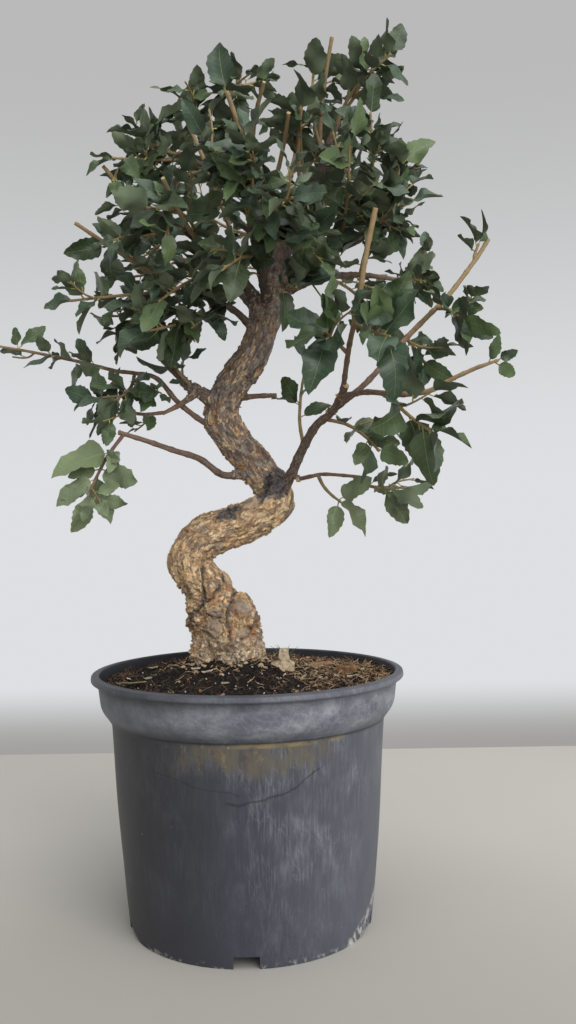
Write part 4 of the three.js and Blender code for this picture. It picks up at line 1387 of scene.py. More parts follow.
@dataclass
class NurseryPot:
    """Round plastic pot with a rolled lip, a band under it and notches round its foot."""

    effects: Effects
    sides: int = 180
    wall: float = 1.5
    height: float = 151
    lip_radius: float = 94.5
    lip_depth: float = 3.6
    band: tuple = ((90.4, 146.2), (88.6, 131.0), (84.0, 124.8))
    body: tuple = ((82.3, 122.0), (75.2, 19.6))
    foot_radius: float = 73
    foot_ring: float = 2.5
    base: tuple = (7.0, 9.0)
    notch: tuple = (15.0, 5, -90.0)
    sloped: tuple = (1, 4)
    slope_top: float = 8.6

    def profile(self) -> list:
        """Gives the outline from the axis inside, over the lip and down to the axis under the base.

        Returns:
            Radius, height and corner radius of each point.
        """
        (top, lip_foot), (belly, turn), (low, step) = self.band
        (shoulder, shoulder_height), (heel, heel_height) = self.body
        wall, rim = self.wall, self.lip_radius
        return [
            (heel - wall - 0.6, self.base[1], 1), (heel - wall, heel_height, 4),
            (shoulder - wall, shoulder_height + 1, 1.5), (low - wall, step + 1, 1.5), (belly - wall, turn, 4),
            (top - 0.9, self.height - 0.7, 0.4), (top - 0.2, self.height, 0.4),
            (top + 1.2, self.height - 0.5, 0.8), (rim - 0.4, self.height - 0.7, 0.8),
            (rim, self.height - self.lip_depth, 1.0), (rim - 1.4, self.height - self.lip_depth - 0.8, 0.8),
            (top, lip_foot, 1.2), (belly, turn, 6), (low, step, 1.2), (shoulder, shoulder_height, 1.2),
            (heel, heel_height, 7), (self.foot_radius, 0, 0.5),
            (self.foot_radius - self.foot_ring, 0, 0.4),
            (self.foot_radius - self.foot_ring + 0.8, self.base[0], 0.5),
        ]

    def rounded(self) -> np.ndarray:
        """Rounds each corner of the outline and fills long stretches with points."""
        corners = self.profile()
        ring = [(0.02, self.base[1]), *[corner[:2] for corner in corners], (0.02, self.base[0])]
        points = [np.array(ring[0])]
        for index, (_, _, radius) in enumerate(corners, start=1):
            here = np.array(ring[index])
            before, after = np.array(ring[index - 1]) - here, np.array(ring[index + 1]) - here
            cut = min(radius, np.linalg.norm(before) * 0.45, np.linalg.norm(after) * 0.45)
            start, end = here + unit(before) * cut, here + unit(after) * cut
            for step in np.linspace(0, 1, 6):
                points.append((1 - step) ** 2 * start + 2 * step * (1 - step) * here + step**2 * end)
        points.append(np.array(ring[-1]))
        filled = [points[0]]
        for point in points[1:]:
            gap = np.linalg.norm(point - filled[-1])
            for step in range(1, int(gap // 5) + 1):
                filled.append(filled[-1] + (point - filled[-1]) / (int(gap // 5) + 2 - step))
            filled.append(point)
        return np.array(filled)

    def shell(self) -> bpy.types.Mesh:
        """Turns the outline into the pot's closed shell, a little out of round as thin plastic is."""
        outline = self.rounded()
        angle = around(self.sides)
        points = []
        for radius, height in outline:
            soft = math.sin(clamp(height / 118) * math.pi) * (radius > 60)
            bulge = soft * (0.45 * np.sin(2 * angle + 0.6) + 0.3 * np.sin(5 * angle + height * 0.04)
                            + 0.16 * np.sin(11 * angle - height * 0.05))
            points.append(ring_of(radius + bulge, height, angle))
        rows = len(outline)
        points = np.concatenate(points)
        ends = np.array([[0, 0, self.base[1]], [0, 0, self.base[0]]])
        faces = [tuple(reversed(face)) for face in lathe_faces(rows, self.sides, True)]
        return new_mesh("pot_shell", np.concatenate([points, ends]), faces)

    def notched(self, shell: bpy.types.Mesh) -> bpy.types.Mesh:
        """Cuts the drainage notches into the foot.

        Args:
            shell: the turned shell.

        Returns:
            The shell with its notches.
        """
        width, count, first = self.notch
        points, faces = [], []
        for number in range(count):
            angle = math.radians(first + number * 360 / count)
            sloped, half = number in self.sloped, width / 2
            if sloped:
                tall_side = 1 if math.cos(angle) > 0 else -1
                angle -= tall_side * math.radians(5)
                half = width * 0.95
            out = np.array([math.cos(angle), math.sin(angle), 0])
            over = np.array([-math.sin(angle), math.cos(angle), 0])
            base = len(points)
            for lower in (True, False):
                for reach, side in ((-7, -1), (7, -1), (7, 1), (-7, 1)):
                    if sloped:
                        top, depth = self.slope_top if side == tall_side else -0.5, reach * 0.5 + 1.5
                    else:
                        top, depth = self.base[0] + 0.35 * reach / 7, reach
                    across = side * (half - (0 if lower else 0.5))
                    height = np.array([0, 0, -3.0 if lower else top])
                    points.append(out * (self.foot_radius + depth) + over * across + height)
            for face in ((0, 3, 2, 1), (4, 5, 6, 7), (0, 1, 5, 4), (1, 2, 6, 5), (2, 3, 7, 6), (3, 0, 4, 7)):
                faces.append(tuple(base + corner for corner in face))
        cutter = temporary(new_mesh("notches", np.array(points), faces))
        holder = temporary(shell)
        modifier = holder.modifiers.new("cut", "BOOLEAN")
        modifier.operation, modifier.solver, modifier.object = "DIFFERENCE", "EXACT", cutter
        mesh = baked(holder)
        bpy.data.objects.remove(cutter)
        return mesh

    def build(self) -> None:
        """Builds and dresses the pot."""
        mesh = self.notched(self.shell())
        settle("nursery_pot", mesh, PotPlastic(self.effects).material(), Slot.POT, "pot", crease=40)


# Soil


@dataclass
class SoilBed:
    """Growing medium that fills the pot, with all the small things that lie on it."""

    effects: Effects
    strew: ScatterRecipe
    stems: StemRecipe
    trunk: tuple = (-12.0, 20.0)
    edge_level: float = 141
    edge_radius: float = 88.1
    mound: float = 17
    spread: float = 44
    sides: int = 200
    rings: int = 66
    scrap_seed: int = 200

    def level(self, x: float, y: float) -> float:
        """Gives the height of the smooth soil at a place.

        Args:
            x: its first value.
            y: its second value.

        Returns:
            The height.
        """
        away = math.hypot(x - self.trunk[0], y - self.trunk[1]) / self.spread
        roll = 1.1 * math.sin(x * 0.11 + 1) * math.cos(y * 0.13) + 0.8 * math.sin((x - y) * 0.21)
        reach = math.hypot(x, y)
        heap = clamp((reach - 62) / 24) ** 2 * (2.4 + 2.2 * max(x, 0) / max(reach, 1))
        calm = 1 - 0.5 * min(reach / 88, 1)
        return self.edge_level + self.mound * math.exp(-away * away) + roll * calm + heap

    def crumbly(self, x: float, y: float) -> float:
        """Gives the height of the soil with its lumps.

        Args:
            x: the place's first value.
            y: its second value.

        Returns:
            The height.
        """
        place = Vector((x, y, 0))
        lumps = noise.fractal(place * 0.09, 0.8, 2.1, 3) * 1.3 + noise.noise(place * 0.42) * 0.8
        return self.level(x, y) + lumps + noise.noise(place * 1.1) * 0.35

    def top(self) -> tuple[np.ndarray, list]:
        """Gives the points and faces of the soil's upper side, ring by ring from the wall inwards."""
        radii = self.edge_radius * (1 - np.arange(self.rings) / self.rings)
        points = []
        for radius in radii:
            for turn in around(self.sides):
                x, y = radius * math.cos(turn), radius * math.sin(turn)
                points.append((x, y, self.crumbly(x, y)))
        return np.array(points), lathe_faces(self.rings, self.sides, False)

    def body(self) -> bpy.types.Mesh:
        """Builds the closed body of the soil."""
        top, _ = self.top()
        angle = around(self.sides)
        walls = []
        for radius, height in ((71.6, 9.4), (72.2, 19.6), (79.6, 119.4), (81.6, 125.0), (85.6, 132.5)):
            walls.append(ring_of(radius, height, angle))
        ends = np.array([[0, 0, 9.4], [0, 0, self.crumbly(0, 0)]])
        points = np.concatenate([*walls, top, ends])
        faces = lathe_faces(self.rings + 5, self.sides, True)
        tone = np.array([0.5 + 0.5 * noise.noise(Vector(point) * 0.2) for point in points])
        return new_mesh("soil", points, faces, {"tone": tone})

    def bed(self, weight: Rule) -> bpy.types.Mesh:
        """Gives the upper side with a weight at each point, for strewing.

        Args:
            weight: how much of the density lies at a place.

        Returns:
            The mesh.
        """
        points, faces = self.top()
        weights = [max(weight(x, y), 0.0) if self.free(x, y) else 0.0 for x, y, _ in points]
        return new_mesh("bed", points, faces, {"bed_weight": weights})

    def free(self, x: float, y: float) -> bool:
        """Tells whether a place is clear of the trunk and of the wall."""
        return math.hypot(x - self.trunk[0], y - self.trunk[1]) > 17.5 and math.hypot(x, y) < 86

    def strewn(self) -> None:
        """Strews crumbs, perlite, straw, bark crumbs and litter over the soil."""

        def near(x: float, y: float) -> float:
            """Gives how near a place is to the trunk's foot."""
            return math.exp(-((math.hypot(x + 12, y - 20) - 20) / 13) ** 2)

        def right(x: float, y: float) -> float:
            """Gives how far a place lies to the right."""
            return 1 / (1 + math.exp(-(x - 26 + 0.35 * y) / 8))

        def edge(x: float, y: float) -> float:
            """Gives how near a place is to the wall."""
            return clamp((math.hypot(x, y) - 66) / 14)

        effects = self.effects
        perlite = Debris(effects, "perlite", (0.70, 0.68, 0.63, 1), (0.46, 0.43, 0.38, 1),
                         (0.10, 0.075, 0.06, 1), 700.0)
        dry = Debris(effects, "straw", (0.58, 0.44, 0.26, 1), (0.34, 0.20, 0.10, 1),
                     (0.12, 0.08, 0.05, 1), 500.0)
        roots = Debris(effects, "fine_roots", (0.20, 0.115, 0.070, 1), (0.075, 0.048, 0.034, 1),
                       (0.04, 0.03, 0.025, 1), 500.0)
        bark = Debris(effects, "bark_crumbs", (0.60, 0.47, 0.31, 1), (0.24, 0.135, 0.075, 1),
                      (0.07, 0.05, 0.04, 1), 420.0)
        kinds = (
            ("soil_crumbs", pebble(11, 1.0), PottingSoil(effects).material(), Slot.SOIL, lambda x, y: 1.0,
             dict(density=0.15e6, seed=3, smallest=0.35, largest=1.5, lean=3.1, sink=0.2 * MM)),
            ("perlite", pebble(23, 1.0), perlite.material(), Slot.SOIL,
             lambda x, y: 0.35 + 1.2 * near(x, y) + 0.5 * right(x, y),
             dict(density=0.014e6, seed=8, smallest=0.25, largest=0.95, lean=3.1, sink=-0.3 * MM)),
            ("straw", straw(5, 10.0), dry.material(), Slot.CHIP,
             lambda x, y: 0.05 + 0.8 * right(x, y) + 1.3 * right(x, y) * edge(x, y) + 0.35 * near(x, y),
             dict(density=0.07e6, seed=14, smallest=0.35, largest=1.25, lean=0.6, sink=-0.7 * MM)),
            ("fine_roots", straw(9, 6.5, 0.17), roots.material(), Slot.SOIL,
             lambda x, y: 0.45 + 0.9 * edge(x, y) + 0.6 * right(x, y),
             dict(density=0.07e6, seed=31, smallest=0.4, largest=1.5, lean=0.9, sink=-0.5 * MM)),
            ("bark_crumbs", flake(17, 1.9), bark.material(), Slot.CHIP,
             lambda x, y: 0.02 + 1.0 * near(x, y) + 0.42 * right(x, y),
             dict(density=0.05e6, seed=47, smallest=0.25, largest=1.1, lean=0.7, sink=-0.5 * MM)),
        )
        for name, pattern, material, slot, weight, values in kinds:
            shape = temporary(pattern)
            mesh = self.strew.grow(self.bed(weight), pattern=shape, material=material, **values)
            bpy.data.objects.remove(shape)
            settle(name, mesh, material, slot)

    def litter(self) -> None:
        """Lays the dry leaves and pale scraps that stand out on the soil."""
        scraps = (
            (-67, -18, 6.5, 0.4, 1.0), (-73, 2, 3.2, 2.0, 0.0), (-60, -8, 3.6, 1.1, 0.8),
            (-46, 6, 3.0, 2.6, 0.6), (-24, -14, 4.2, 0.9, 0.1), (-31, -8, 2.6, 0.2, 0.2),
            (-4, -10, 2.2, 1.9, 0.1), (36, -12, 4.6, 0.3, 0.9), (44, -2, 3.0, 1.4, 0.5),
            (64, 10, 4.4, 0.7, 0.2), (60, -14, 2.6, 2.2, 0.4), (-12, -30, 2.4, 0.5, 0.7),
            (72, 28, 3.4, 1.2, 0.6), (20, 60, 4.0, 0.4, 0.3), (-40, 56, 4.6, 2.2, 0.8),
            (-62, 34, 3.8, 1.0, 0.5),
        )
        points, faces, tones, count = [], [], [], 0
        for number, (x, y, size, turn, tone) in enumerate(scraps):
            shape = flake(self.scrap_seed + number, 1.0)
            corners = points_of(shape) * np.array([1.1, 0.5, 0.18]) * size
            corners[:, 2] += 0.06 * corners[:, 0] ** 2 / size + 0.10 * size * np.sin(corners[:, 1] * 2)
            faces += [tuple(count + corner for corner in face.vertices) for face in shape.polygons]
            along, across = spun(corners[:, 0], corners[:, 1], turn)
            height = self.level(x, y) + 1.2 + 0.2 * size + corners[:, 2]
            points.append(np.stack([x + along, y + across, height], 1))
            tones += [tone] * len(corners)
            count += len(corners)
        dry = Debris(self.effects, "dry_litter", (0.66, 0.58, 0.44, 1), (0.25, 0.24, 0.13, 1),
                     (0.14, 0.10, 0.07, 1), 300.0, 0.2, 0.4).material()
        mesh = new_mesh("litter", np.concatenate(points), faces, {"tone": tones})
        settle("dry_litter", mesh, dry, Slot.CHIP, crease=40)

    def seedling(self) -> None:
        """Builds the tiny grass seedling beside the trunk."""
        points, edges, radii = [], [], []
        foot = np.array([23.0, 24.0, self.level(23, 24) - 0.5])
        for blade in range(15):
            angle = blade * 2.4
            out = np.array([math.cos(angle), math.sin(angle), 0])
            tall = 9 + 8 * ((blade * 37) % 10) / 10
            first = len(points)
            for step in np.linspace(0, 1, 8):
                points.append(foot + out * (0.5 + tall * 0.6 * step**1.8)
                              + np.array([0, 0, tall * step * (1 - 0.25 * step)]))
                radii.append(0.30 * (1 - 0.7 * step) * MM)
            edges += [(first + k, first + k + 1) for k in range(7)]
        count = len(points)
        values = {"stem_radius": radii, "stem_age": [0.0] * count, "stem_cut": [0.0] * count,
                  "tone": [0.5] * count}
        line = new_mesh("seedling", np.array(points), [], values, edges)
        green = Debris(self.effects, "seedling_green", (0.085, 0.115, 0.060, 1), (0.060, 0.085, 0.045, 1),
                       (0.16, 0.17, 0.09, 1), 300.0, 0.05).material()
        mesh = self.stems.grow(line, sides=5, bark_depth=0.0, material=green)
        settle("seedling", mesh, green, Slot.LEAF)

    def build(self) -> None:
        """Builds and dresses the soil and what lies on it."""
        settle("soil_bed", self.body(), PottingSoil(self.effects).material(), Slot.SOIL, "soil", crease=80)
        self.strewn()
        self.litter()
        self.seedling()


def pebble(seed: int, size: float) -> bpy.types.Mesh:
    """Makes a small rough lump of twenty faces.

    Args:
        seed: seed of its shape.
        size: its radius in millimetres.

    Returns:
        The mesh.
    """
    golden = (1 + math.sqrt(5)) / 2
    corners = [
        (-1, golden, 0), (1, golden, 0), (-1, -golden, 0), (1, -golden, 0), (0, -1, golden), (0, 1, golden),
        (0, -1, -golden), (0, 1, -golden), (golden, 0, -1), (golden, 0, 1), (-golden, 0, -1), (-golden, 0, 1),
    ]
    faces = [
        (0, 11, 5), (0, 5, 1), (0, 1, 7), (0, 7, 10), (0, 10, 11), (1, 5, 9), (5, 11, 4), (11, 10, 2),
        (10, 7, 6), (7, 1, 8), (3, 9, 4), (3, 4, 2), (3, 2, 6), (3, 6, 8), (3, 8, 9), (4, 9, 5), (2, 4, 11),
        (6, 2, 10), (8, 6, 7), (9, 8, 1),
    ]
    draw = draws(seed)
    points = unit(np.array(corners, float)) * size
    points *= np.array([[0.72 + 0.5 * next(draw)] for _ in corners])
    return new_mesh("pebble", points, faces)


def straw(seed: int, length: float, radius: float = 0.24) -> bpy.types.Mesh:
    """Makes a thin bent stalk of a few faces.

    Args:
        seed: seed of its bends.
        length: its length in millimetres.
        radius: its radius in millimetres.

    Returns:
        The mesh.
    """
    draw = draws(seed)
    spots = [(k / 5 - 0.5) * length for k in range(6)]
    line = np.array([(spot, (next(draw) - 0.5) * length * 0.22, (next(draw) - 0.3) * length * 0.12)
                     for spot in spots])
    rings = []
    for k, middle in enumerate(line):
        thin = radius * (0.55 if k in (0, 5) else 1)
        rings += [middle + np.array([0, math.cos(a), math.sin(a)]) * thin for a in (0, 2.094, 4.189)]
    points = np.concatenate([np.array(rings), [line[0], line[-1]]])
    return new_mesh("straw", points, lathe_faces(6, 3, True))


def flake(seed: int, size: float) -> bpy.types.Mesh:
    """Makes a thin broken flake of a few faces.

    Args:
        seed: seed of its outline.
        size: about half its width in millimetres.

    Returns:
        The mesh.
    """
    draw = draws(seed)
    loops = []
    reach = [0.6 + 0.7 * next(draw) for _ in range(7)]
    for height, shrink in ((-0.28, 0.8), (0.28, 1.0)):
        for k in range(7):
            angle = k / 7 * math.tau
            away = size * reach[k] * shrink
            loops.append((away * math.cos(angle) * 1.25, away * math.sin(angle),
                          height * size * (0.7 + 0.6 * next(draw))))
    points = np.concatenate([np.array(loops), [(0, 0, -0.3 * size), (0, 0, 0.4 * size)]])
    return new_mesh("flake", points, lathe_faces(2, 7, True))


# Tree


@dataclass(frozen=True)
class Limb:
    """A limb: points along its middle and its radius at both ends."""

    radius: tuple[float, float]
    points: tuple

    def path(self) -> Path:
        """Gives the curve along its middle."""
        return Path.through(self.points)


LIMBS = {
    "lowRight": Limb((3.6, 2.1), ((21, 3, 258), (28, -4, 268), (34, -12, 281), (43, -25, 296), (52, -38, 303),
                                  (59, -62, 315))),
    "cutScar": Limb((4.2, 3.6), ((-8, -6, 242), (-9, -8, 255))),
    "lowLeft": Limb((2.6, 1.5), ((0, 10, 270), (-7, 4, 269), (-15, 0, 270), (-27, -6, 279), (-42, -14, 284),
                                 (-56, -20, 289), (-72, -28, 294))),
    "leftFork": Limb((4.6, 3.6), ((-15, 12, 314), (-24, 9, 319), (-33, 7, 323))),
    "leftStub": Limb((2.8, 2.5), ((-30, 8, 321), (-38, 10, 329), (-53, 14, 345))),
    "leftDown": Limb((2.2, 1.3), ((-29, 8, 321), (-39, 2, 313), (-49, -4, 307))),
    "leftLong": Limb((2, 1.3), ((-17, 13, 300), (-26, 11, 303), (-41, 6, 315), (-53, 2, 329), (-66, -2, 332),
                                (-78, -5, 333))),
    "rightStub": Limb((1.9, 1.6), ((-5, 10, 317), (7, 8, 318), (20, 5, 318))),
    "leader": Limb((7.2, 1.9),
                   ((22, 7, 394), (22, 8, 415), (17, 10, 437), (9, 10, 459), (2, 6, 482), (0, 3, 499),
                                (0, 0, 515))),
    "leftLimb": Limb((5, 1.9),
                     ((13, 5, 366), (4, -4, 381), (-9, -12, 396), (-26, -22, 408), (-43, -30, 420))),
    "rightLimb": Limb((4.5, 1.6), ((19, 5, 377), (29, 2, 388), (42, -5, 399), (60, -12, 404), (74, -18, 409),
                                   (94, -25, 424))),
    "upRight": Limb((4, 1.6), ((22, 8, 403), (36, 5, 435), (48, 0, 452), (55, -5, 471), (64, -10, 488))),
    "rightBack": Limb((3.6, 1.5),
                      ((18, 7, 377), (29, 16, 385), (49, 32, 396), (76, 50, 402), (104, 62, 401))),
    "backLimb": Limb((4, 1.6), ((21, 8, 387), (16, 40, 409), (9, 70, 435), (-1, 95, 460))),
    "backRight": Limb((3.6, 1.5), ((22, 8, 397), (37, 45, 428), (55, 75, 456))),
    "leftBack": Limb((3.6, 1.5), ((13, 8, 365), (-3, 30, 388), (-23, 55, 407), (-47, 75, 422))),
    "frontLimb": Limb((3.6, 1.5), ((16, 0, 373), (13, -30, 384), (10, -58, 394), (7, -80, 404))),
    "leftMid": Limb((2.6, 1.4), ((9, 3, 355), (-4, -6, 368), (-21, -16, 374), (-41, -26, 377))),
    "topBack": Limb((3, 1.4), ((22, 8, 413), (27, 35, 451), (34, 55, 480), (37, 62, 503))),
    "topLeft": Limb((3, 1.4), ((15, 10, 441), (0, 4, 451), (-18, -2, 456), (-37, -8, 464))),
    "frontRight": Limb((1.5, 1.6), ((57.5, -57.5, 313), (60, -80, 334), (64, -90, 352), (68, -97, 377),
                                    (73, -102, 400))),
    "rightOut": Limb((1.7, 1.2),
                     ((56, -52, 310), (69, -80, 309), (85, -92, 306), (99, -98, 307), (112, -103, 313),
                                  (124, -107, 318))),
    "rightLong": Limb((1.8, 1.4),
                      ((50, -35, 302), (71, -45, 318), (93, -42, 342), (109, -38, 358), (121, -34, 370),
                                   (138, -28, 392), (146, -25, 404))),
    "lowSide": Limb((1.5, 1.1),
                    ((29, -5, 269), (33, -11, 266), (40, -16, 267), (48, -20, 268), (67, -28, 266))),
}

CUT_SCAR = "cutScar"

BARE_SHOOTS = (
    ("leftMid", 0.9, (-98, -16, 420)), ("leftLimb", 0.85, (-80, -20, 452)),
    ("rightLimb", 0.8, (110, -30, 455)), ("frontLimb", 0.9, (-2, -98, 462)), ("upRight", 0.55, (57, -8, 532)),
    ("upRight", 0.3, (40, -20, 500)), ("leader", 0.35, (30, -30, 478)), ("leader", 0.5, (16, -28, 497)),
    ("leftLimb", 0.5, (-38, -78, 425)), ("leftLimb", 0.3, (-28, -40, 470)),
    ("rightLimb", 0.35, (64, -30, 474)),
)


def bowed(foot: np.ndarray, tip: np.ndarray, bow: float, angle: float) -> Path:
    """Makes a shoot that bows to one side between its foot and its tip.

    Args:
        foot: where it starts.
        tip: where it ends.
        bow: how far it bows, by its length.
        angle: the way it bows, round its length.

    Returns:
        The curve along its middle.
    """
    chord = tip - foot
    along = unit(chord)
    flat = np.array([0, 0, 1.0]) if abs(along[2]) < 0.9 else np.array([1.0, 0, 0])
    side = unit(np.cross(along, flat))
    sway = side * math.cos(angle) + np.cross(along, side) * math.sin(angle)
    reach = bow * np.linalg.norm(chord)
    first, second = foot + chord * 0.33 + sway * reach, foot + chord * 0.68 + sway * reach * 0.8
    return Path(np.array([foot, first, second, tip]))


def knotty(start: float, taper: float, bump: float, apart: float, width: float) -> Rule:
    """Gives the radius of a shoot by place and length, a little thicker at its nodes.

    Args:
        start: the radius at its foot.
        taper: how much thinner its end is.
        bump: how much thicker its nodes are.
        apart: the distance between nodes.
        width: about half the width of a node.

    Returns:
        The radius at a place and a length walked.
    """

    def radius(place: float, length: float) -> float:
        """Gives the radius at one place."""
        off = ((length % apart) - apart / 2) / width
        return start - taper * place + bump * math.exp(-(off**2))

    return radius


@dataclass
class StemLines:
    """Lines along the middles of stems, with a radius at each point, ready to be swept."""

    points: list = field(default_factory=list)
    edges: list = field(default_factory=list)
    radii: list = field(default_factory=list)
    ages: list = field(default_factory=list)
    cuts: list = field(default_factory=list)

    def add(self, path: Path, radius: Rule, spacing: float, cut: bool,
            shift: tuple[float, float] = (0.0, 0.0)) -> None:
        """Adds one stem.

        Args:
            path: the curve along its middle.
            radius: its radius by place and by length walked.
            spacing: the distance between points.
            cut: True for a blunt cut end, False for a bud.
            shift: how much older its bark looks than its radius says, at its foot and at its end.
        """
        places, lengths = path.even(spacing)
        middles = path.at(places)
        first = len(self.points)
        ends = [(middle, radius(place, length), 0.0) for middle, place,
                length in zip(middles, places, lengths)]
        forward = unit(middles[-1] - middles[-2])
        last = ends[-1]
        shifts = [shift[0] + (shift[1] - shift[0]) * place for place in places]
        if cut:
            ends.append((last[0] + forward * 0.05, last[1] * 0.97, 1.0))
        else:
            swell = last[1] * 1.25
            ends += [(last[0] + forward * 0.8, swell, 0.0), (last[0] + forward * 1.8, swell * 0.75, 0.0),
                     (last[0] + forward * 2.5, swell * 0.12, 0.0)]
        shifts += [shift[1]] * (len(ends) - len(shifts))
        for (middle, thick, fresh), change in zip(ends, shifts):
            self.points.append(middle)
            self.radii.append(thick * MM)
            self.ages.append(clamp((thick - 0.9) / 3.6 + change))
            self.cuts.append(fresh)
        self.edges += [(first + k, first + k + 1) for k in range(len(ends) - 1)]

    def mesh(self, name: str) -> bpy.types.Mesh:
        """Gives the lines as a mesh of edges."""
        values = {"stem_radius": self.radii, "stem_age": self.ages, "stem_cut": self.cuts}
        return new_mesh(name, np.array(self.points), [], values, self.edges)


@dataclass
class Tree:
    """Trunk with its burl, bends and cork bark, and the limbs that grow from it."""

    effects: Effects
    stems: StemRecipe
    reach: float = 0.03
    voxel: float = 0.73
    line: tuple = (
        (-12, 20, 124, 17), (-12, 20, 138, 18.5), (-12, 20, 152, 18.5), (-13, 19, 166, 19),
        (-16, 15, 180, 18.5), (-20, 10, 192, 17), (-26, 4, 202, 13.6), (-31, -1, 210, 12.8),
        (-33, -3, 218, 12.6), (-30, -4, 226, 12.8), (-23, -4, 232, 12.8), (-13, -5, 236, 12.6),
        (-3, -4, 239, 12.2), (8, -2, 244, 11.8), (16, 2, 250, 11.2), (18, 7, 258, 10.8), (12, 12, 267, 10.8),
        (5, 14, 276, 11), (-3, 15, 286, 11), (-10, 15, 296, 10.8), (-14, 14, 306, 10.6), (-13, 12, 315, 10.4),
        (-9, 10, 323, 10.3), (-3, 8, 331, 10.2), (4, 6, 340, 10), (9, 5, 350, 9.8), (12, 5, 360, 9.4),
        (16, 5, 372, 8.8), (21, 6, 384, 8), (23, 7, 399, 7.2),
    )
    swellings: tuple = (
        (5, 10, 158, 5, 8), (-29, 8, 160, 5, 8), (-14, 0, 170, 5, 8), (1, 8, 178, 4.5, 7),
        (-31, 22, 156, 4, 8), (-3, 0, 156, 4, 7), (7, 28, 158, 5, 8), (-20, 38, 160, 5, 9),
        (-30, 2, 184, 4, 7), (2, 4, 189, 4.5, 6), (-6, 3, 199, -5, 5.5), (-6, 13, 199, -5, 5.5),
        (-8, 22, 198, -4, 6), (2, 20, 188, 4, 8), (-34, 14, 178, 3, 7), (-18, -2, 188, 3, 6),
        (-46, -4, 214, 1.8, 9), (-18, -16, 226, 2.2, 8), (2, -14, 246, 1.8, 8), (27, 4, 246, 2, 7),
        (-14, 2, 305, 1.6, 7), (-26, 12, 300, 2, 7), (20, 8, 268, 1.6, 6), (-1, -2, 337, 1.5, 7),
        (22, 0, 366, 2, 7), (12, 12, 392, 2, 8),
    )
    dark_spots: tuple = (
        (19, -5, 264, 9.5), (24, 0, 273, 7), (10.5, -8, 260, 6.2), (-9.5, -14, 246, 5), (-5, -13, 248.5, 3.5),
        (-14, -14, 243.5, 3), (-12, -3, 207, 4),
    )
    knots: tuple = (
        (-21, 176, 6.2, 1), (-19, 186, 4.2, 1), (-2.5, 188, 6.2, 1), (-1.5, 172, 4.0, 1), (-16, 226, 3, 1),
        (-9, 176, 6.5, -1), (-24, 168, 5, -1), (-2, 166, 5, -1), (-14, 190, 5, -1), (6, 242, 4.5, -1),
    )
    tongue: tuple = ((21, 262, 4.4), (17, 258, 4.4), (12, 255, 4.2), (7, 252.5, 3.6), (2, 250.5, 2.8))
    clefts: tuple = (
        (-24.8, 214, -25.7, 197), (-25.7, 197, -27, 188.6), (-27, 188.6, -33.5, 184), (-15.5, 201, -20, 196),
        (-20, 196, -27, 188.6), (-8, 196, -12, 178), (-12, 178, -9, 168), (14, 267, 13, 259),
        (13, 259, 9, 252),
    )

    def middle(self) -> Path:
        """Gives the curve along the trunk's middle."""
        return Path(np.array(self.line, float)[:, :3])

    def radius(self, places: np.ndarray) -> np.ndarray:
        """Gives the trunk's radius at places from 0 to 1."""
        radii = np.array(self.line, float)[:, 3]
        return np.interp(places, np.linspace(0, 1, len(radii)), radii)

    def swell(self, points: np.ndarray, outward: np.ndarray, angle: np.ndarray,
              heights: np.ndarray) -> np.ndarray:
        """Moves points of the trunk outwards by the swellings and the root lobes.

        Args:
            points: points on the plain round trunk.
            outward: the way out at each.
            angle: the angle round the trunk.
            heights: the height of the middle at each.

        Returns:
            The moved points.
        """
        rise = 2.6 * np.exp(-np.maximum(heights - 152, 0) / 14) * np.cos(5 * angle + 0.8)
        for x, y, z, height, width in self.swellings:
            away = np.sum((points - np.array([x, y, z])) ** 2, axis=1)
            rise = rise + height * np.exp(-away / width**2)
        return points + outward * rise[:, None]

    def rough_trunk(self) -> bpy.types.Mesh:
        """Builds the smooth trunk with the collars of its limbs, as overlapping closed tubes."""
        sides = 44
        path = self.middle()
        places, _ = path.even(2.0)
        middles, _, across, other = path.axes(places, self.reach)
        angle = np.tile(around(sides), len(places))
        row = np.repeat(np.arange(len(places)), sides)
        outward = across[row] * np.cos(angle)[:, None] + other[row] * np.sin(angle)[:, None]
        skin = middles[row] + outward * self.radius(places)[row][:, None]
        points = [self.swell(skin, outward, angle, middles[row][:, 2]), middles[[0, -1]]]
        faces = lathe_faces(len(places), sides, True)
        count = len(skin) + 2
        for name, limb in LIMBS.items():
            curve = limb.path()
            steps, lengths = curve.even(1.5)
            keep = lengths <= 5 + limb.radius[0] * 3.2
            if keep.sum() < 3 or name == CUT_SCAR:
                continue
            steps, lengths = steps[keep], lengths[keep]
            spots, _, first, second = curve.axes(steps)
            thick = np.interp(steps, [0, 1], limb.radius)
            flare = 0.25 if name == "leader" else 0.75
            flare = 1 + flare * np.exp(-(lengths / (limb.radius[0] * 1.7)) ** 2)
            turn = around(16)
            for place in range(len(steps)):
                ring = np.outer(np.cos(turn), first[place]) + np.outer(np.sin(turn), second[place])
                shrink = 0.8 if place == len(steps) - 1 else 1
                points.append(spots[place] + ring * thick[place] * flare[place] * shrink)
            points.append(spots[[0, -1]])
            faces += [tuple(count + corner for corner in face) for face in lathe_faces(len(steps), 16, True)]
            count += len(steps) * 16 + 2
        return new_mesh("rough_trunk", np.concatenate(points), faces)

    def skinned(self) -> bpy.types.Mesh:
        """Joins trunk and collars into one even skin."""
        holder = temporary(self.rough_trunk())
        remesh = holder.modifiers.new("skin", "REMESH")
        remesh.mode, remesh.voxel_size = "VOXEL", self.voxel * MM
        smooth = holder.modifiers.new("smooth", "SMOOTH")
        smooth.factor, smooth.iterations = 0.5, 4
        return baked(holder)

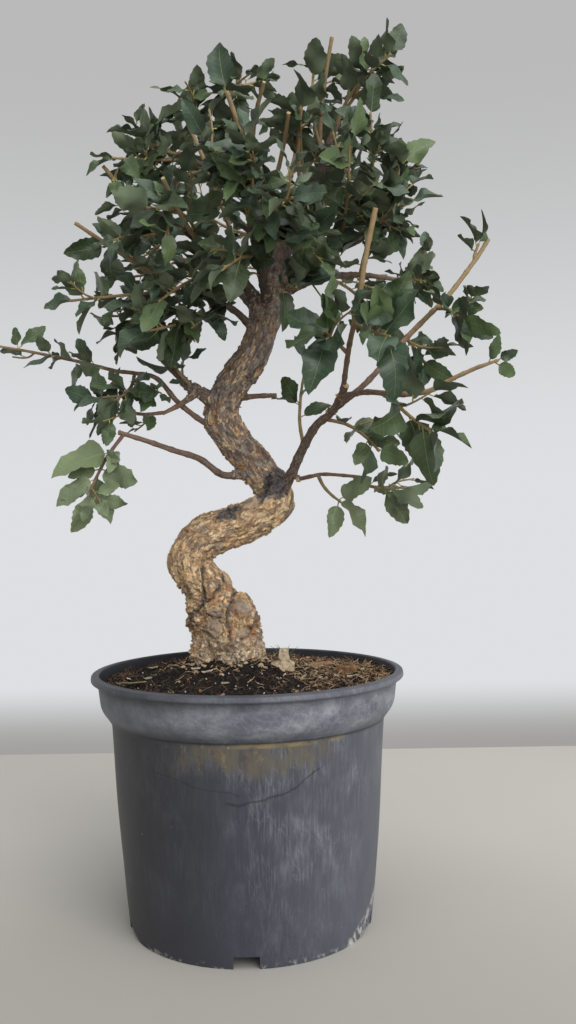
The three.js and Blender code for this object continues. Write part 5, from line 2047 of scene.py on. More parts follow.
    def barked(self) -> bpy.types.Mesh:
        """Gives the skin its plates, furrows and cracks, and the values that its finish reads."""
        mesh = self.skinned()
        path = self.middle()
        places, lengths = path.even(0.6)
        middles, _, across, other = path.axes(places, self.reach)
        finder = finder_of(middles)
        points = points_of(mesh)
        normals = np.empty(len(points) * 3, np.float32)
        mesh.vertex_normals.foreach_get("vector", normals)
        normals = normals.reshape(-1, 3)
        nearest = np.array([finder.find(point)[1] for point in points])
        offset = points - middles[nearest]
        local = np.stack([np.sum(offset * across[nearest], axis=1), np.sum(offset * other[nearest], axis=1),
                          lengths[nearest]], 1)
        knots = [(self.on_skin(points, x, z, side), reach) for x, z, reach, side in self.knots]
        smooth = [(self.on_skin(points, x, z, 1), reach) for x, z, reach in self.tongue]
        rows = [self.relief(Vector(point), Vector(spot), away[1] < 2, knots, smooth)
                for point, spot, away in zip(points, local, offset)]
        rise, crack, plate, dark, knot = (np.array(column) for column in zip(*rows))
        points = points + normals * rise[:, None]
        mesh.vertices.foreach_set("co", (points * MM).astype(np.float32).ravel())
        for name, values in (("crack", crack), ("plate", plate), ("dark", dark), ("knot", knot)):
            mesh.attributes.new(name, "FLOAT", "POINT").data.foreach_set("value", values.astype(np.float32))
        layer = mesh.attributes.new("bark_place", "FLOAT_VECTOR", "POINT")
        layer.data.foreach_set("vector", local.astype(np.float32).ravel())
        mesh.update()
        return mesh

    @staticmethod
    def on_skin(points: np.ndarray, x: float, z: float, side: int) -> Vector:
        """Finds the point of the skin in front of a place, or behind it.

        Args:
            points: the skin's points.
            x: the place's first value.
            z: its height.
            side: 1 for the front, -1 for the back.

        Returns:
            The point.
        """
        far = np.hypot(points[:, 0] - x, points[:, 2] - z) * 8 + points[:, 1] * side
        return Vector(points[np.argmin(far)])

    def plates(self, point: Vector, spot: Vector, upper: bool, burl: float, foot: float) -> tuple[float, ...]:
        """Works out the broken plate at one point.

        Args:
            point: its place.
            spot: its place along and round the stem.
            upper: True where the plates are drawn out along the stem.
            burl: how far it is part of the burl.
            foot: how far it is part of the foot.

        Returns:
            How far the plate stands out, how deep in a crack the point is, and the plate's tone.
        """
        width, tall = (2.6, 2.9) if foot > 0.5 else (3.8, 4.4) if burl > 0.5 else (3.0, 5.6)
        if upper:
            width, tall = 2.6, 8.0
        drift = noise.noise_vector(point * 0.16) * 2.8 + noise.noise_vector(point * 0.55) * 1.3
        place = Vector(((spot.x + drift.x) / width, (spot.y + drift.y) / width, (spot.z + drift.z) / tall))
        distances, centres = noise.voronoi(place)
        centre = centres[0]
        tone = 0.5 + 0.5 * noise.cell(centre * 37.7)
        lean = Vector((noise.cell(centre * 53.1), noise.cell(centre * 71.3), noise.cell(centre * 91.7)))
        tilt = (place - centre).dot(lean)
        crack = max(1 - (distances[1] - distances[0]) / 0.17, 0)
        rise = (tone - 0.4) * 0.75 + tilt * 0.85 + (0.75 if tone > 0.84 else 0) - 0.40 * crack
        return rise, crack, tone

    def relief(self, point: Vector, spot: Vector, front: bool, knots: list,
               smooth: list) -> tuple[float, ...]:
        """Works out the bark at one point.

        Args:
            point: its place.
            spot: its place along and round the stem.
            front: True on the side that has the clefts.
            knots: place and reach of each knot.
            smooth: place and reach of each part that has no plates.

        Returns:
            How far the bark stands out, how deep in a crack it is, the tone of its plate, how dark it is
            painted there, for a dark patch or as painted shade in a cleft, and how far it is part of a knot.
        """
        wobble = noise.noise(point * 0.12) * 5
        upper = clamp((point.z + wobble - 258) / 12)
        burl = clamp((204 - point.z + wobble) / 10)
        foot = clamp((170 - point.z + wobble) / 8)
        rise, crack, tone = self.plates(point, spot, upper > 0.5, burl, foot)
        rise *= 0.9 + 0.35 * burl
        grain = Vector((spot.x * 0.34, spot.y * 0.34, spot.z * 0.05)) + Vector((9, 9, 9))
        furrow = noise.fractal(grain, 0.9, 2.2, 3)
        furrow = max(1 - abs(furrow) / 0.09, 0) * upper
        knot = 0.0
        for place, reach in knots:
            away = (point - place).length / reach
            if away < 1.8:
                away += 0.22 * noise.noise(point * 0.28) + 0.12 * noise.noise(point * 0.8)
                core = 1 - min(max(away - 0.70, 0) / 0.35, 1)
                knot = max(knot, core)
                turns = math.cos(away * 10 + 1.5)
                rise = rise * (1 - 0.55 * core) + 0.28 * turns * core + 1.0 * max(1 - away * away, 0)
                ring = max(1 - abs(away - 1.12) / 0.16, 0)
                rise -= 0.8 * ring
                crack = max(crack * (1 - 0.5 * core), 0.9 * ring, 0.55 * core * max(-turns, 0) ** 3)
        for place, reach in smooth:
            core = 1 - min(max((point - place).length / reach - 0.7, 0) / 0.5, 1)
            knot = max(knot, 0.9 * core)
            rise = rise * (1 - 0.9 * core) + 0.9 * core * core
            crack *= 1 - core
        cleft = 0.0
        if front:
            shift = noise.noise_vector(point * 0.2) * 2.6 + noise.noise_vector(point * 0.7) * 0.8
            for x, z, end_x, end_z in self.clefts:
                along = Vector((end_x - x, end_z - z))
                off = Vector((point.x - x + shift.x, point.z - z + shift.z))
                part = clamp(off.dot(along) / along.length_squared)
                near = (off - along * part).length
                cleft = max(cleft, 1 - min(max(near - 0.35, 0) / 1.3, 1))
        rise += noise.noise(point * 0.11) * (0.45 + 1.7 * burl) + noise.noise(point * 0.30) * 1.1 * burl
        rise -= 0.7 * furrow + 2.2 * cleft + 0.15
        # Painted shade: the clefts are painted dark; the dark spots add dark patches
        dark = 0.85 * cleft
        for x, y, z, reach in self.dark_spots:
            away = (point - Vector((x, y, z))).length / reach
            if away < 2:
                ragged = away - 0.85 + 0.45 * noise.noise(point * 0.45)
                dark = max(dark, 1 - min(max(ragged, 0) / 0.35, 1))
                rise += 0.7 * math.exp(-(((away - 1.15) / 0.22) ** 2)) * (z < 250)
        thin = clamp((385 - point.z) / 60, 0.55)
        return rise * thin, max(crack, 0.8 * furrow), tone, dark, knot

    def limb_radius(self, limb: Limb, name: str) -> Rule:
        """Gives the radius of a limb by place and length, with knots where side shoots were.

        Args:
            limb: the limb.
            name: its name, which places the knots.

        Returns:
            The radius at a place and a length walked.
        """
        seed = sum(map(ord, name))

        def radius(place: float, length: float) -> float:
            """Gives the radius at one place."""
            start, end = limb.radius
            bumps = 0.05 if name == "leader" else 1
            knots = 1 + 0.16 * bumps * math.exp(-((((length + seed) % 11) - 5.5) / 1.3) ** 2)
            ease = 1 + 0.35 * bumps * math.exp(-(length / (start * 2.2)) ** 2)
            return (start + (end - start) * place) * knots * ease * (0.97 - 0.12 * place)

        return radius

    def build(self) -> None:
        """Builds and dresses the trunk, its limbs and the bare shoots."""
        settle("trunk", self.barked(), CorkBark(self.effects).material(), Slot.BARK, "tree", crease=75)
        twig = TwigBark(self.effects).material()
        lines = StemLines()
        for name, limb in LIMBS.items():
            if name != CUT_SCAR:
                shift = (0.15, -0.30) if name in ("frontRight", "rightOut", "rightLong") else (0.05, 0.10)
                lines.add(limb.path(), self.limb_radius(limb, name), 1.3, cut=True, shift=shift)
        line = lines.mesh("limbs")
        grown = self.stems.grow(line, sides=14, bark_depth=0.32 * MM, bark_grain=0.55, material=twig)
        settle("limbs", grown, twig, Slot.BARK, "tree", crease=60)
        lines = StemLines()
        for index, (name, at, end) in enumerate(BARE_SHOOTS):
            path = bowed(LIMBS[name].path().at(at)[0], np.array(end, float), 0.07, 1.7 * index)
            lines.add(path, knotty(1.50, 0.36, 0.14, 9, 0.9), 1.3, cut=True, shift=(-0.02, -0.2))
        line = lines.mesh("cut_shoots")
        grown = self.stems.grow(line, sides=10, bark_depth=0.16 * MM, bark_grain=0.6, material=twig)
        settle("cut_shoots", grown, twig, Slot.BARK, "tree", crease=60)


# Leafy shoots


@dataclass(frozen=True)
class Shoot:
    """A leafy shoot: where it grows, its leaves, and how far it is filled out."""

    limb: str
    at: float
    tip: Point
    leaves: int
    leaf: float
    face: Point | None = None
    aims: tuple = ()
    reach: tuple[float, float] | None = None
    sway: float = 1.0
    fill: int = 23
    pale: float = 0.0
    grown: float = 1.0


SHOOTS = (
    Shoot("leader", 0.8, (-6, -38, 487), 6, 22, aims=((1, -11, -41, 515), (0.8, -20, -36, 495)), fill=10),
    Shoot("leader", 0.6, (-32, -25, 488), 6, 20),
    Shoot("leader", 0.9, (12, 12, 514), 5, 16, fill=8),
    Shoot("topLeft", 0.95, (-57, -12, 470), 6, 19),
    Shoot("topLeft", 0.85, (-72, -25, 455), 6, 18),
    Shoot("topLeft", 0.7, (-70, 8, 448), 6, 20),
    Shoot("topLeft", 0.4, (-33, 40, 488), 6, 21),
    Shoot("leftLimb", 0.95, (-62, -20, 424), 6, 20, fill=18),
    Shoot("leftLimb", 0.8, (-76, -38, 400), 5, 19, fill=18),
    Shoot("leftLimb", 0.7, (-44, -82, 408), 7, 22),
    Shoot("leftLimb", 0.45, (-43, -55, 365), 6, 21),
    Shoot("leftMid", 0.95, (-96, -34, 370), 6, 20, fill=12),
    Shoot("leftMid", 0.75, (-78, -2, 367), 6, 21),
    Shoot("leftMid", 0.5, (-50, -50, 349), 6, 22, fill=12),
    Shoot("leftFork", 0.7, (-50, -2, 355), 6, 19, fill=9),
    Shoot("leftLong", 0.97, (-147, -6, 349), 7, 17, aims=((0.84, -120, -8, 361),), reach=(0.02, 0.55),
          sway=0.3,
          fill=7),
    Shoot("leftLong", 0.8, (-72, -28, 314), 5, 20, fill=11),
    Shoot("leftDown", 0.95, (-86, -22, 313), 6, 19, fill=10),
    Shoot("lowLeft", 0.97, (-89, -37, 256), 9, 24, face=(-0.3, -1, 0.5),
          aims=((0.1, -99, -32, 305), (0.3, -117, -36, 273), (0.35, -72, -46, 278), (0.55, -57, -42, 263),
                (0.7, -112, -40, 255), (0.85, -72, -36, 240), (1, -96, -38, 232)), fill=7, pale=0.75,
          grown=0.86),
    Shoot("upRight", 0.97, (77, -14, 510), 6, 18, aims=((1, 86, -20, 526),), fill=9),
    Shoot("upRight", 0.85, (88, -34, 508), 7, 20, aims=((1, 98, -36, 527),), fill=9),
    Shoot("upRight", 0.62, (46, 2, 518), 6, 20, aims=((1, 28, 0, 524),), fill=9),
    Shoot("upRight", 0.35, (37, -22, 482), 6, 20),
    Shoot("rightLimb", 0.97, (95, -34, 446), 6, 20, fill=11),
    Shoot("rightLimb", 0.85, (76, -48, 468), 6, 20),
    Shoot("rightLimb", 0.75, (92, -52, 416), 6, 20),
    Shoot("rightLimb", 0.55, (62, -72, 441), 6, 22),
    Shoot("rightLimb", 0.35, (44, -80, 398), 6, 21),
    Shoot("frontLimb", 0.97, (9, -100, 435), 6, 21),
    Shoot("frontLimb", 0.8, (-14, -94, 440), 6, 21),
    Shoot("frontLimb", 0.62, (30, -104, 405), 6, 21),
    Shoot("frontLimb", 0.4, (-6, -90, 373), 6, 22, fill=10),
    Shoot("frontRight", 0.4, (78, -106, 334), 5, 27, face=(0, -1, 0.6), aims=((1, 84, -113, 304),), fill=3),
    Shoot("frontRight", 0.2, (46, -98, 338), 5, 27, face=(0, -1, 0.8), aims=((0.7, 38, -108, 312),), fill=3),
    Shoot("rightOut", 0.35, (98, -107, 286), 6, 26, aims=((0.9, 118, -112, 276),), fill=4),
    Shoot("rightOut", 0.97, (131, -109, 320), 3, 12, aims=((1, 142, -112, 325),), fill=0),
    Shoot("rightLong", 0.82, (139, -28, 399), 3, 16, aims=((0.9, 134, -30, 418),), fill=0),
    Shoot("rightLong", 0.55, (124, -52, 353), 6, 20, fill=8),
    Shoot("rightLong", 0.35, (110, -20, 330), 6, 21, fill=10),
    Shoot("lowSide", 0.97, (92, -36, 259), 6, 20, fill=5, pale=0.35),
    Shoot("lowSide", 0.65, (56, -28, 252), 3, 20, face=(0, -1, 0.3),
          aims=((1, 51, -30, 233), (0.9, 72, -32, 231)),
          fill=0, pale=0.6, grown=1.15),
    Shoot("lowRight", 0.45, (37, -16, 329), 5, 18, fill=2),
    Shoot("lowRight", 0.7, (76, -58, 280), 6, 21, fill=5, pale=0.3),
    Shoot("rightBack", 0.97, (118, 70, 403), 6, 21),
    Shoot("rightBack", 0.75, (90, 28, 440), 6, 21),
    Shoot("rightBack", 0.55, (96, 84, 371), 6, 22),
    Shoot("backLimb", 0.97, (-12, 108, 490), 6, 21),
    Shoot("backLimb", 0.65, (-38, 98, 464), 6, 21),
    Shoot("backRight", 0.97, (70, 100, 484), 7, 21),
    Shoot("backRight", 0.6, (38, 110, 440), 6, 21),
    Shoot("leftBack", 0.97, (-70, 92, 438), 6, 21),
    Shoot("leftBack", 0.6, (-84, 50, 402), 6, 21),
    Shoot("topBack", 0.97, (33, 72, 516), 6, 19),
    Shoot("topBack", 0.6, (66, 64, 502), 6, 20),
)


INNER_TWIGS = (
    ("leader", 0.05, (-8, -34, 392), 14), ("frontLimb", 0.25, (33, -50, 371), 32),
    ("frontLimb", 0.4, (14, -66, 402), 31), ("leftLimb", 0.25, (-20, -42, 372), 14),
    ("rightLimb", 0.3, (48, -44, 366), 26), ("rightLimb", 0.45, (60, -38, 388), 25),
    ("frontLimb", 0.3, (-2, -58, 376), 30), ("leftMid", 0.5, (-26, -44, 352), 14),
)


@dataclass
class Blade:
    """One leaf: where its stalk starts, its axes, length and the phase of its edge's wave."""

    foot: np.ndarray
    along: np.ndarray
    face: np.ndarray
    length: float
    wave: float
    stalk: float = 3.4

    def at(self, u: float, v: float) -> np.ndarray:
        """Gives a point of the blade by its place along and across, both by its length.

        Args:
            u: the place along.
            v: the place across.

        Returns:
            The point.
        """
        across = np.cross(self.face, self.along)
        ripple = 0.035 * math.sin(self.wave + u * 9) * np.sign(v) * min(abs(v) * 4, 1)
        lift = -0.16 * u * u + 0.24 * abs(v) + ripple
        return (self.foot + self.along * (self.stalk + u * self.length) + across * v * self.length
                + self.face * lift * self.length)

    def corners(self) -> list[np.ndarray]:
        """Gives the tip and the teeth, which a solid leaf has as vertices."""
        teeth = ((0.2, 0.268), (0.43, 0.238), (0.69, 0.24))
        return [self.at(1, 0), *[self.at(u, v * side) for u, v in teeth for side in (1, -1)]]

    def spots(self) -> np.ndarray:
        """Gives a few points over the blade, to keep blades apart."""
        places = ((0.1, 0), (0.4, 0.16), (0.4, -0.16), (0.7, 0.1), (0.7, -0.1), (1, 0))
        return np.array([self.at(u, v) for u, v in places])


@dataclass
class Spray:
    """A leafy shoot as it has grown: its middle, its side twigs and its leaves."""

    number: int
    shoot: Shoot
    path: Path
    blades: list[Blade] = field(default_factory=list)
    twigs: list[Path] = field(default_factory=list)

    @property
    def node(self) -> str:
        """Name of the solid that it stands for."""
        return f"spray_{self.number:02d}"


@dataclass
class Crown:
    """All leafy shoots, grown by the rule of their solids and filled out with more leaves."""

    effects: Effects
    stems: StemRecipe
    leaves: LeafRecipe
    middle: Point = (20, 0, 418)
    extent: Point = (112, 112, 112)
    first_seed: int = 2200
    tries: int = 8
    bows: int = 6
    clearance: float = 1.9
    outline: float = 12.0
    touch: float = 0.02
    ceiling: float = 531
    wood_gap: float = 1.5
    stalk: float = 3.4
    solid: KDTree = field(init=False)
    taken: np.ndarray = field(init=False)
    stem: np.ndarray = field(init=False)

    def grown_path(self, shoot: Shoot, draw: Iterator[float], finder: KDTree) -> Path:
        """Finds the bow that the solid shoot has.

        Args:
            shoot: the shoot.
            draw: its stream of draws.
            finder: the vertices of its solid.

        Returns:
            The curve along its middle.
        """
        foot = LIMBS[shoot.limb].path().at(shoot.at)[0]
        tip = np.array(shoot.tip, float)
        rings = 5 if np.linalg.norm(tip - foot) > 40 else 4
        best, most = None, -1
        for k in range(self.bows):
            bow = (0.05 + 0.07 * next(draw) + 0.02 * k) * shoot.sway
            path = bowed(foot, tip, bow, next(draw) * math.tau)
            middles, _, side, other = path.axes(np.linspace(0, 1, rings))
            found = 0
            for ring in range(1, rings):
                radius = 1.1 - 0.4 * ring / (rings - 1)
                for axis in (side[ring], -side[ring], other[ring], -other[ring]):
                    found += finder.find(middles[ring] + axis * radius)[2] < self.touch
            if found > most:
                best, most = path, found
        return best

    def facing(self, along: np.ndarray, foot: np.ndarray, wanted: Point | None,
               stray: np.ndarray) -> np.ndarray:
        """Gives the way a blade faces: to the light and out of the crown, square to its length.

        Args:
            along: the way the blade points.
            foot: where its stalk starts.
            wanted: the way it should face, where the shoot has one.
            stray: how it strays from that.

        Returns:
            The way it faces.
        """
        if wanted:
            face = unit(np.array(wanted, float))
        else:
            face = np.array([0, 0, 0.45]) + unit(foot - np.array(self.middle, float)) * 0.75
        face = face + stray * 0.5
        return unit(face - along * (face @ along))

    def tried(self, spray: Spray, index: int, draw: Iterator[float]) -> list[Blade]:
        """Gives the eight tries for one leaf of a solid shoot.

        Args:
            spray: the shoot as it has grown.
            index: the leaf's number.
            draw: its stream of draws.

        Returns:
            The tries, in their order.
        """
        shoot = spray.shoot
        aimed = index < len(shoot.aims)
        step = 0 if aimed else (index - len(shoot.aims) + 1) / (shoot.leaves - len(shoot.aims))
        ending = (not aimed and not shoot.reach and all(aim[0] < 1 for aim in shoot.aims)
                  and index == shoot.leaves - 1)
        first, final = shoot.reach or (0.25, 1)
        walked = first + (final - first) * (1 if ending else min(step, 0.94))
        place = min(shoot.aims[index][0] if aimed else walked, 0.985)
        foot, axis, side, other = spray.path.frame_at(place)
        blades = []
        for k in range(self.tries):
            turn = math.radians(index * 144 + 40 * (next(draw) - 0.5) + k * 47)
            lean = math.radians((18 if ending else 55) + 26 * (next(draw) - 0.5) + k * 2)
            length = shoot.leaf * (0.88 + 0.26 * next(draw)) * (0.85 if k > 4 else 1)
            stray = np.array([next(draw) * 2 - 1 for _ in range(3)])
            wave = next(draw) * 6.28
            out = side * math.cos(turn) + other * math.sin(turn)
            along = unit(axis * math.cos(lean) + out * math.sin(lean))
            if aimed:
                chord = np.array(shoot.aims[index][1:], float) - foot + stray * k * 1.2
                length = max(np.linalg.norm(chord) - self.stalk, 8)
                along = unit(chord)
            blades.append(Blade(foot, along, self.facing(along, foot, shoot.face, stray), length, wave))
        return blades

    def grow_solid(self) -> list[Spray]:
        """Grows every shoot with the leaves that its solid has."""
        sprays = []
        for index, shoot in enumerate(SHOOTS):
            draw = draws(self.first_seed + index)
            finder = finder_of(points_of(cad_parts[f"spray_{index + 1:02d}"].data))
            spray = Spray(index + 1, shoot, self.grown_path(shoot, draw, finder))
            for leaf in range(shoot.leaves):
                for blade in self.tried(spray, leaf, draw):
                    if sum(finder.find(corner)[2] < self.touch for corner in blade.corners()) >= 4:
                        spray.blades.append(blade)
                        break
            sprays.append(spray)
        return sprays

    def fill_out(self, sprays: list[Spray]) -> None:
        """Adds smaller leaves and side twigs between the leaves of the solids.

        Args:
            sprays: the shoots, which get the new leaves.
        """
        self.solid = finder_of(np.concatenate([points_of(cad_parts[spray.node].data)
                                               for spray in sprays]))
        self.taken = np.concatenate([blade.spots() for spray in sprays for blade in spray.blades])
        self.stem = self.stem_points()
        draw = draws(6400)
        for limb, at, tip, number in INNER_TWIGS:
            path = bowed(LIMBS[limb].path().at(at)[0], np.array(tip, float), 0.08, next(draw) * 6.28)
            self.add_inner(sprays[number - 1], path, draw)
        for spray in sprays:
            draw = draws(7000 + spray.number)
            airy = spray.shoot.tip[2] > (395 if spray.shoot.tip[0] < -25 else 480)
            fill = spray.shoot.fill * (0.76 if airy else 1)
            count = round(fill * 0.42)
            for k in range(count):
                place = 0.12 + 0.86 * (k + 0.5) / count
                self.add_leaf(spray, spray.path, place, k * 137.5 + 70, 62, spray.shoot.leaf * 0.92, draw)
            for k in range(max(round((fill - count) / 3.4), 0)):
                self.add_twig(spray, 0.12 + 0.78 * (k + next(draw)) / max(round(fill / 6), 1), k, draw)

    def add_inner(self, spray: Spray, path: Path, draw: Iterator[float]) -> None:
        """Grows a leafy twig straight from a limb, in the middle of the crown.

        Args:
            spray: the shoot beside it, which it becomes part of.
            path: the curve along its middle.
            draw: a stream of draws.
        """
        spray.twigs.append(path)
        for k in range(7):
            self.add_leaf(spray, path, 0.34 + 0.105 * k, k * 137.5, 56, 21, draw)

    def stem_points(self) -> np.ndarray:
        """Gives points along the thick wood with its radius, to keep leaves off it."""
        rows = [np.array(Tree.line, float)]
        for limb in LIMBS.values():
            middles = limb.path().at(np.linspace(0, 1, 24))
            rows.append(np.column_stack([middles, np.linspace(*limb.radius, 24)]))
        return np.concatenate(rows)

    def add_twig(self, spray: Spray, place: float, number: int, draw: Iterator[float]) -> None:
        """Grows a side twig with its leaves, where any of them finds room.

        Args:
            spray: the shoot that it grows from.
            place: its place on that shoot.
            number: its number on that shoot.
            draw: a stream of draws.
        """
        foot, axis, side, other = spray.path.frame_at(min(place, 0.93))
        turn = number * 2.4 + next(draw) * 1.2
        lean = math.radians(42 + 20 * next(draw))
        out = side * math.cos(turn) + other * math.sin(turn)
        along = unit(axis * math.cos(lean) + out * math.sin(lean) + np.array([0, 0, 0.15]))
        path = bowed(foot, foot + along * (11 + 13 * next(draw)), 0.08, next(draw) * 6.28)
        size = spray.shoot.leaf * (0.62 + 0.20 * next(draw))
        grown = [self.add_leaf(spray, path, spot, k * 144 + 50, angle, size, draw)
                 for k, (spot, angle) in enumerate(((0.45, 58), (0.7, 54), (0.9, 50), (0.98, 16)))]
        if any(grown):
            spray.twigs.append(path)

    def add_leaf(self, spray: Spray, path: Path, place: float, turn: float, lean: float, size: float,
                 draw: Iterator[float]) -> bool:
        """Adds one leaf where it keeps clear of the others and within the crown's outline.

        Args:
            spray: the shoot that it belongs to.
            path: the stem that it grows from.
            place: its place on that stem.
            turn: the angle round the stem, in degrees.
            lean: the angle off the stem, in degrees.
            size: its length.
            draw: a stream of draws.

        Returns:
            True where it found room.
        """
        foot, axis, side, other = path.frame_at(min(place, 0.985))
        for k in range(5):
            angle = math.radians(turn + 40 * (next(draw) - 0.5) + k * 71)
            tilt = math.radians(lean + 20 * (next(draw) - 0.5))
            length = size * (0.78 + 0.34 * next(draw)) * (0.88 if k > 2 else 1)
            stray = np.array([next(draw) * 2 - 1 for _ in range(3)])
            out = side * math.cos(angle) + other * math.sin(angle)
            along = unit(axis * math.cos(tilt) + out * math.sin(tilt))
            light = spray.shoot.face or (0.5 * (foot[0] - self.middle[0]) / 100, -0.25, 1)
            face = self.facing(along, foot, light, stray)
            blade = Blade(foot, along, face, length, next(draw) * 6.28, 2.6)
            spots = blade.spots()
            if self.solid.find(spots[-1])[2] > self.outline or spots[:, 2].max() > self.ceiling:
                continue
            away = np.linalg.norm(spots[:, None] - self.stem[None, :, :3], axis=2)
            if np.min(away - self.stem[:, 3]) < self.wood_gap:
                continue
            if np.min(np.linalg.norm(spots[:, None] - self.taken[None], axis=2)) > self.clearance:
                self.taken = np.concatenate([self.taken, spots])
                spray.blades.append(blade)
                return True
        return False

    def pattern(self) -> bpy.types.Mesh:
        """Makes the flat blade that every leaf is bent from, with its stalk.

        Returns:
            A mesh whose attributes hold the place along and across the blade.
        """
        outline = (
            (0.0, 0.04), (0.05, 0.15), (0.13, 0.234), (0.21, 0.284), (0.28, 0.264), (0.38, 0.300),
            (0.46, 0.266), (0.56, 0.280), (0.64, 0.228), (0.74, 0.222), (0.83, 0.148), (0.92, 0.104),
        )
        rows = {"u": [], "v": [], "rim": [], "over": [], "side": [], "stalk": []}

        def add(u: float, v: float, rim: float, over: float, side: float, stalk: float) -> int:
            """Adds a vertex and gives its number."""
            for key, value in zip(rows, (u, v, rim, over, side, stalk)):
                rows[key].append(value)
            return len(rows["u"]) - 1

        grid = []
        for u, half in outline:
            left, right = add(u, half, 0, 0, 0, 1), add(u, -half, 0, 0, 0, 1)
            top = [add(u, half * part, 0, 0.13, 1, 1) for part in (0.5, 0, -0.5)]
            low = [add(u, half * part, 0, -0.13 - 0.09 * (part == 0), -1, 1) for part in (0.5, 0, -0.5)]
            grid.append(([left, *top, right], [left, *low, right]))
        tip = add(1.0, 0, 0, 0, 0, 1)
        faces = []
        for (top, low), (next_top, next_low) in zip(grid, grid[1:]):
            for k in range(4):
                faces.append((top[k], top[k + 1], next_top[k + 1], next_top[k]))
                faces.append((low[k], next_low[k], next_low[k + 1], low[k + 1]))
        top, low = grid[-1]
        faces += [(top[k], top[k + 1], tip) for k in range(4)]
        faces += [(low[k], tip, low[k + 1]) for k in range(4)]
        top, low = grid[0]
        ring = [(0.5 * math.cos(a), 0.42 * math.sin(a))
                for a in (math.pi / 2, math.pi * 7 / 6, math.pi * 11 / 6)]
        foot = [add(0, 0, rim, over, 0.5, -0.12) for rim, over in ring]
        neck = [add(0.04, 0, rim * 0.8, over * 0.8 - 0.1, -0.5, 1) for rim, over in ring]
        for k in range(3):
            following = (k + 1) % 3
            faces.append((foot[k], neck[k], neck[following], foot[following]))
        faces += [tuple(foot), tuple(reversed(neck))]
        faces.append((*reversed(top), *low[1:-1]))
        values = {"blade_u": rows["u"], "blade_v": rows["v"], "rim_across": np.array(rows["rim"]) * MM,
                  "rim_face": np.array(rows["over"]) * MM, "blade_side": rows["side"],
                  "stalk_place": rows["stalk"],
                  "stalk": [1.0 if row in foot or row in neck else 0.0 for row in range(len(rows["u"]))]}
        points = np.column_stack([rows["u"], rows["v"], np.array(rows["over"]) * 0.02])
        return new_mesh("blade_pattern", points, faces, values)

    def seeds(self, spray: Spray) -> bpy.types.Mesh:
        """Gives a point for each leaf of a spray, with the values that bend it.

        Args:
            spray: the spray.

        Returns:
            A mesh of points.
        """
        draw = draws(9000 + spray.number)
        rows = []
        for blade in spray.blades:
            spread = [next(draw) for _ in range(8)]
            # depth sets the painted shade: leaves nearer the crown's middle are painted darker
            depth = np.linalg.norm((blade.foot - np.array(self.middle)) / np.array(self.extent))
            rows.append((0.86 + 0.26 * spread[0], -0.08 + 0.50 * spread[1], 0.12 + 0.66 * spread[2],
                         0.050 + 0.065 * spread[3], 2.1 * (spread[4] - 0.5), spread[5],
                         clamp(spray.shoot.pale * (1.1 - 0.6 * spread[6]) + 0.3 * (spread[6] - 0.8)),
                         -1.5 * spread[7], clamp((0.92 - depth) / 0.4)))
        width, arch, fold, height, twist, tone, pale, curl, shade = np.array(rows).T
        feet = np.array([blade.foot for blade in spray.blades])
        values = {"foot": feet * MM, "blade_along": np.array([blade.along for blade in spray.blades]),
                  "blade_face": np.array([blade.face for blade in spray.blades]),
                  "blade_length": np.array([blade.length for blade in spray.blades]) * MM * spray.shoot.grown,
                  "blade_width": width, "arch": arch, "fold": fold, "curl": curl, "wave_height": height,
                  "twist": twist,
                  "wave_phase": [blade.wave for blade in spray.blades], "tone": tone, "pale": pale,
                  "shade": shade}
        return new_mesh("leaf_points", feet, [], values)

    def build(self) -> None:
        """Builds and dresses every spray: its leaves and its wood."""
        sprays = self.grow_solid()
        solid = sum(len(spray.blades) for spray in sprays)
        self.fill_out(sprays)
        log.info("crown: %d leaves, %d of them solid ones", sum(len(spray.blades) for spray in sprays), solid)
        leaf, wood = OakLeaf(self.effects).material(), TwigBark(self.effects, "shoot_bark").material()
        blade = temporary(self.pattern())
        for spray in sprays:
            seeds = self.seeds(spray)
            mesh = self.leaves.grow(seeds, blade_pattern=blade, stalk_length=self.stalk * MM, material=leaf)
            settle(f"{spray.node}_leaves", mesh, leaf, Slot.LEAF, spray.node, crease=70)
            lines = StemLines()
            brown = (0.20, 0.14) if spray.shoot.limb in ("leftLong", "lowLeft", "leftDown") else (0.04, -0.1)
            lines.add(spray.path, knotty(1.15, 0.45, 0.16, 7, 0.8), 1.4, cut=False, shift=brown)
            for twig in spray.twigs:
                lines.add(twig, lambda place, length: 0.68 - 0.22 * place, 1.4, cut=False)
            line = lines.mesh("shoot")
            mesh = self.stems.grow(line, sides=8, bark_depth=0.12 * MM, bark_grain=0.7, material=wood)
            settle(f"{spray.node}_wood", mesh, wood, Slot.BARK, spray.node, crease=60)
        bpy.data.objects.remove(blade)


# Loose bark


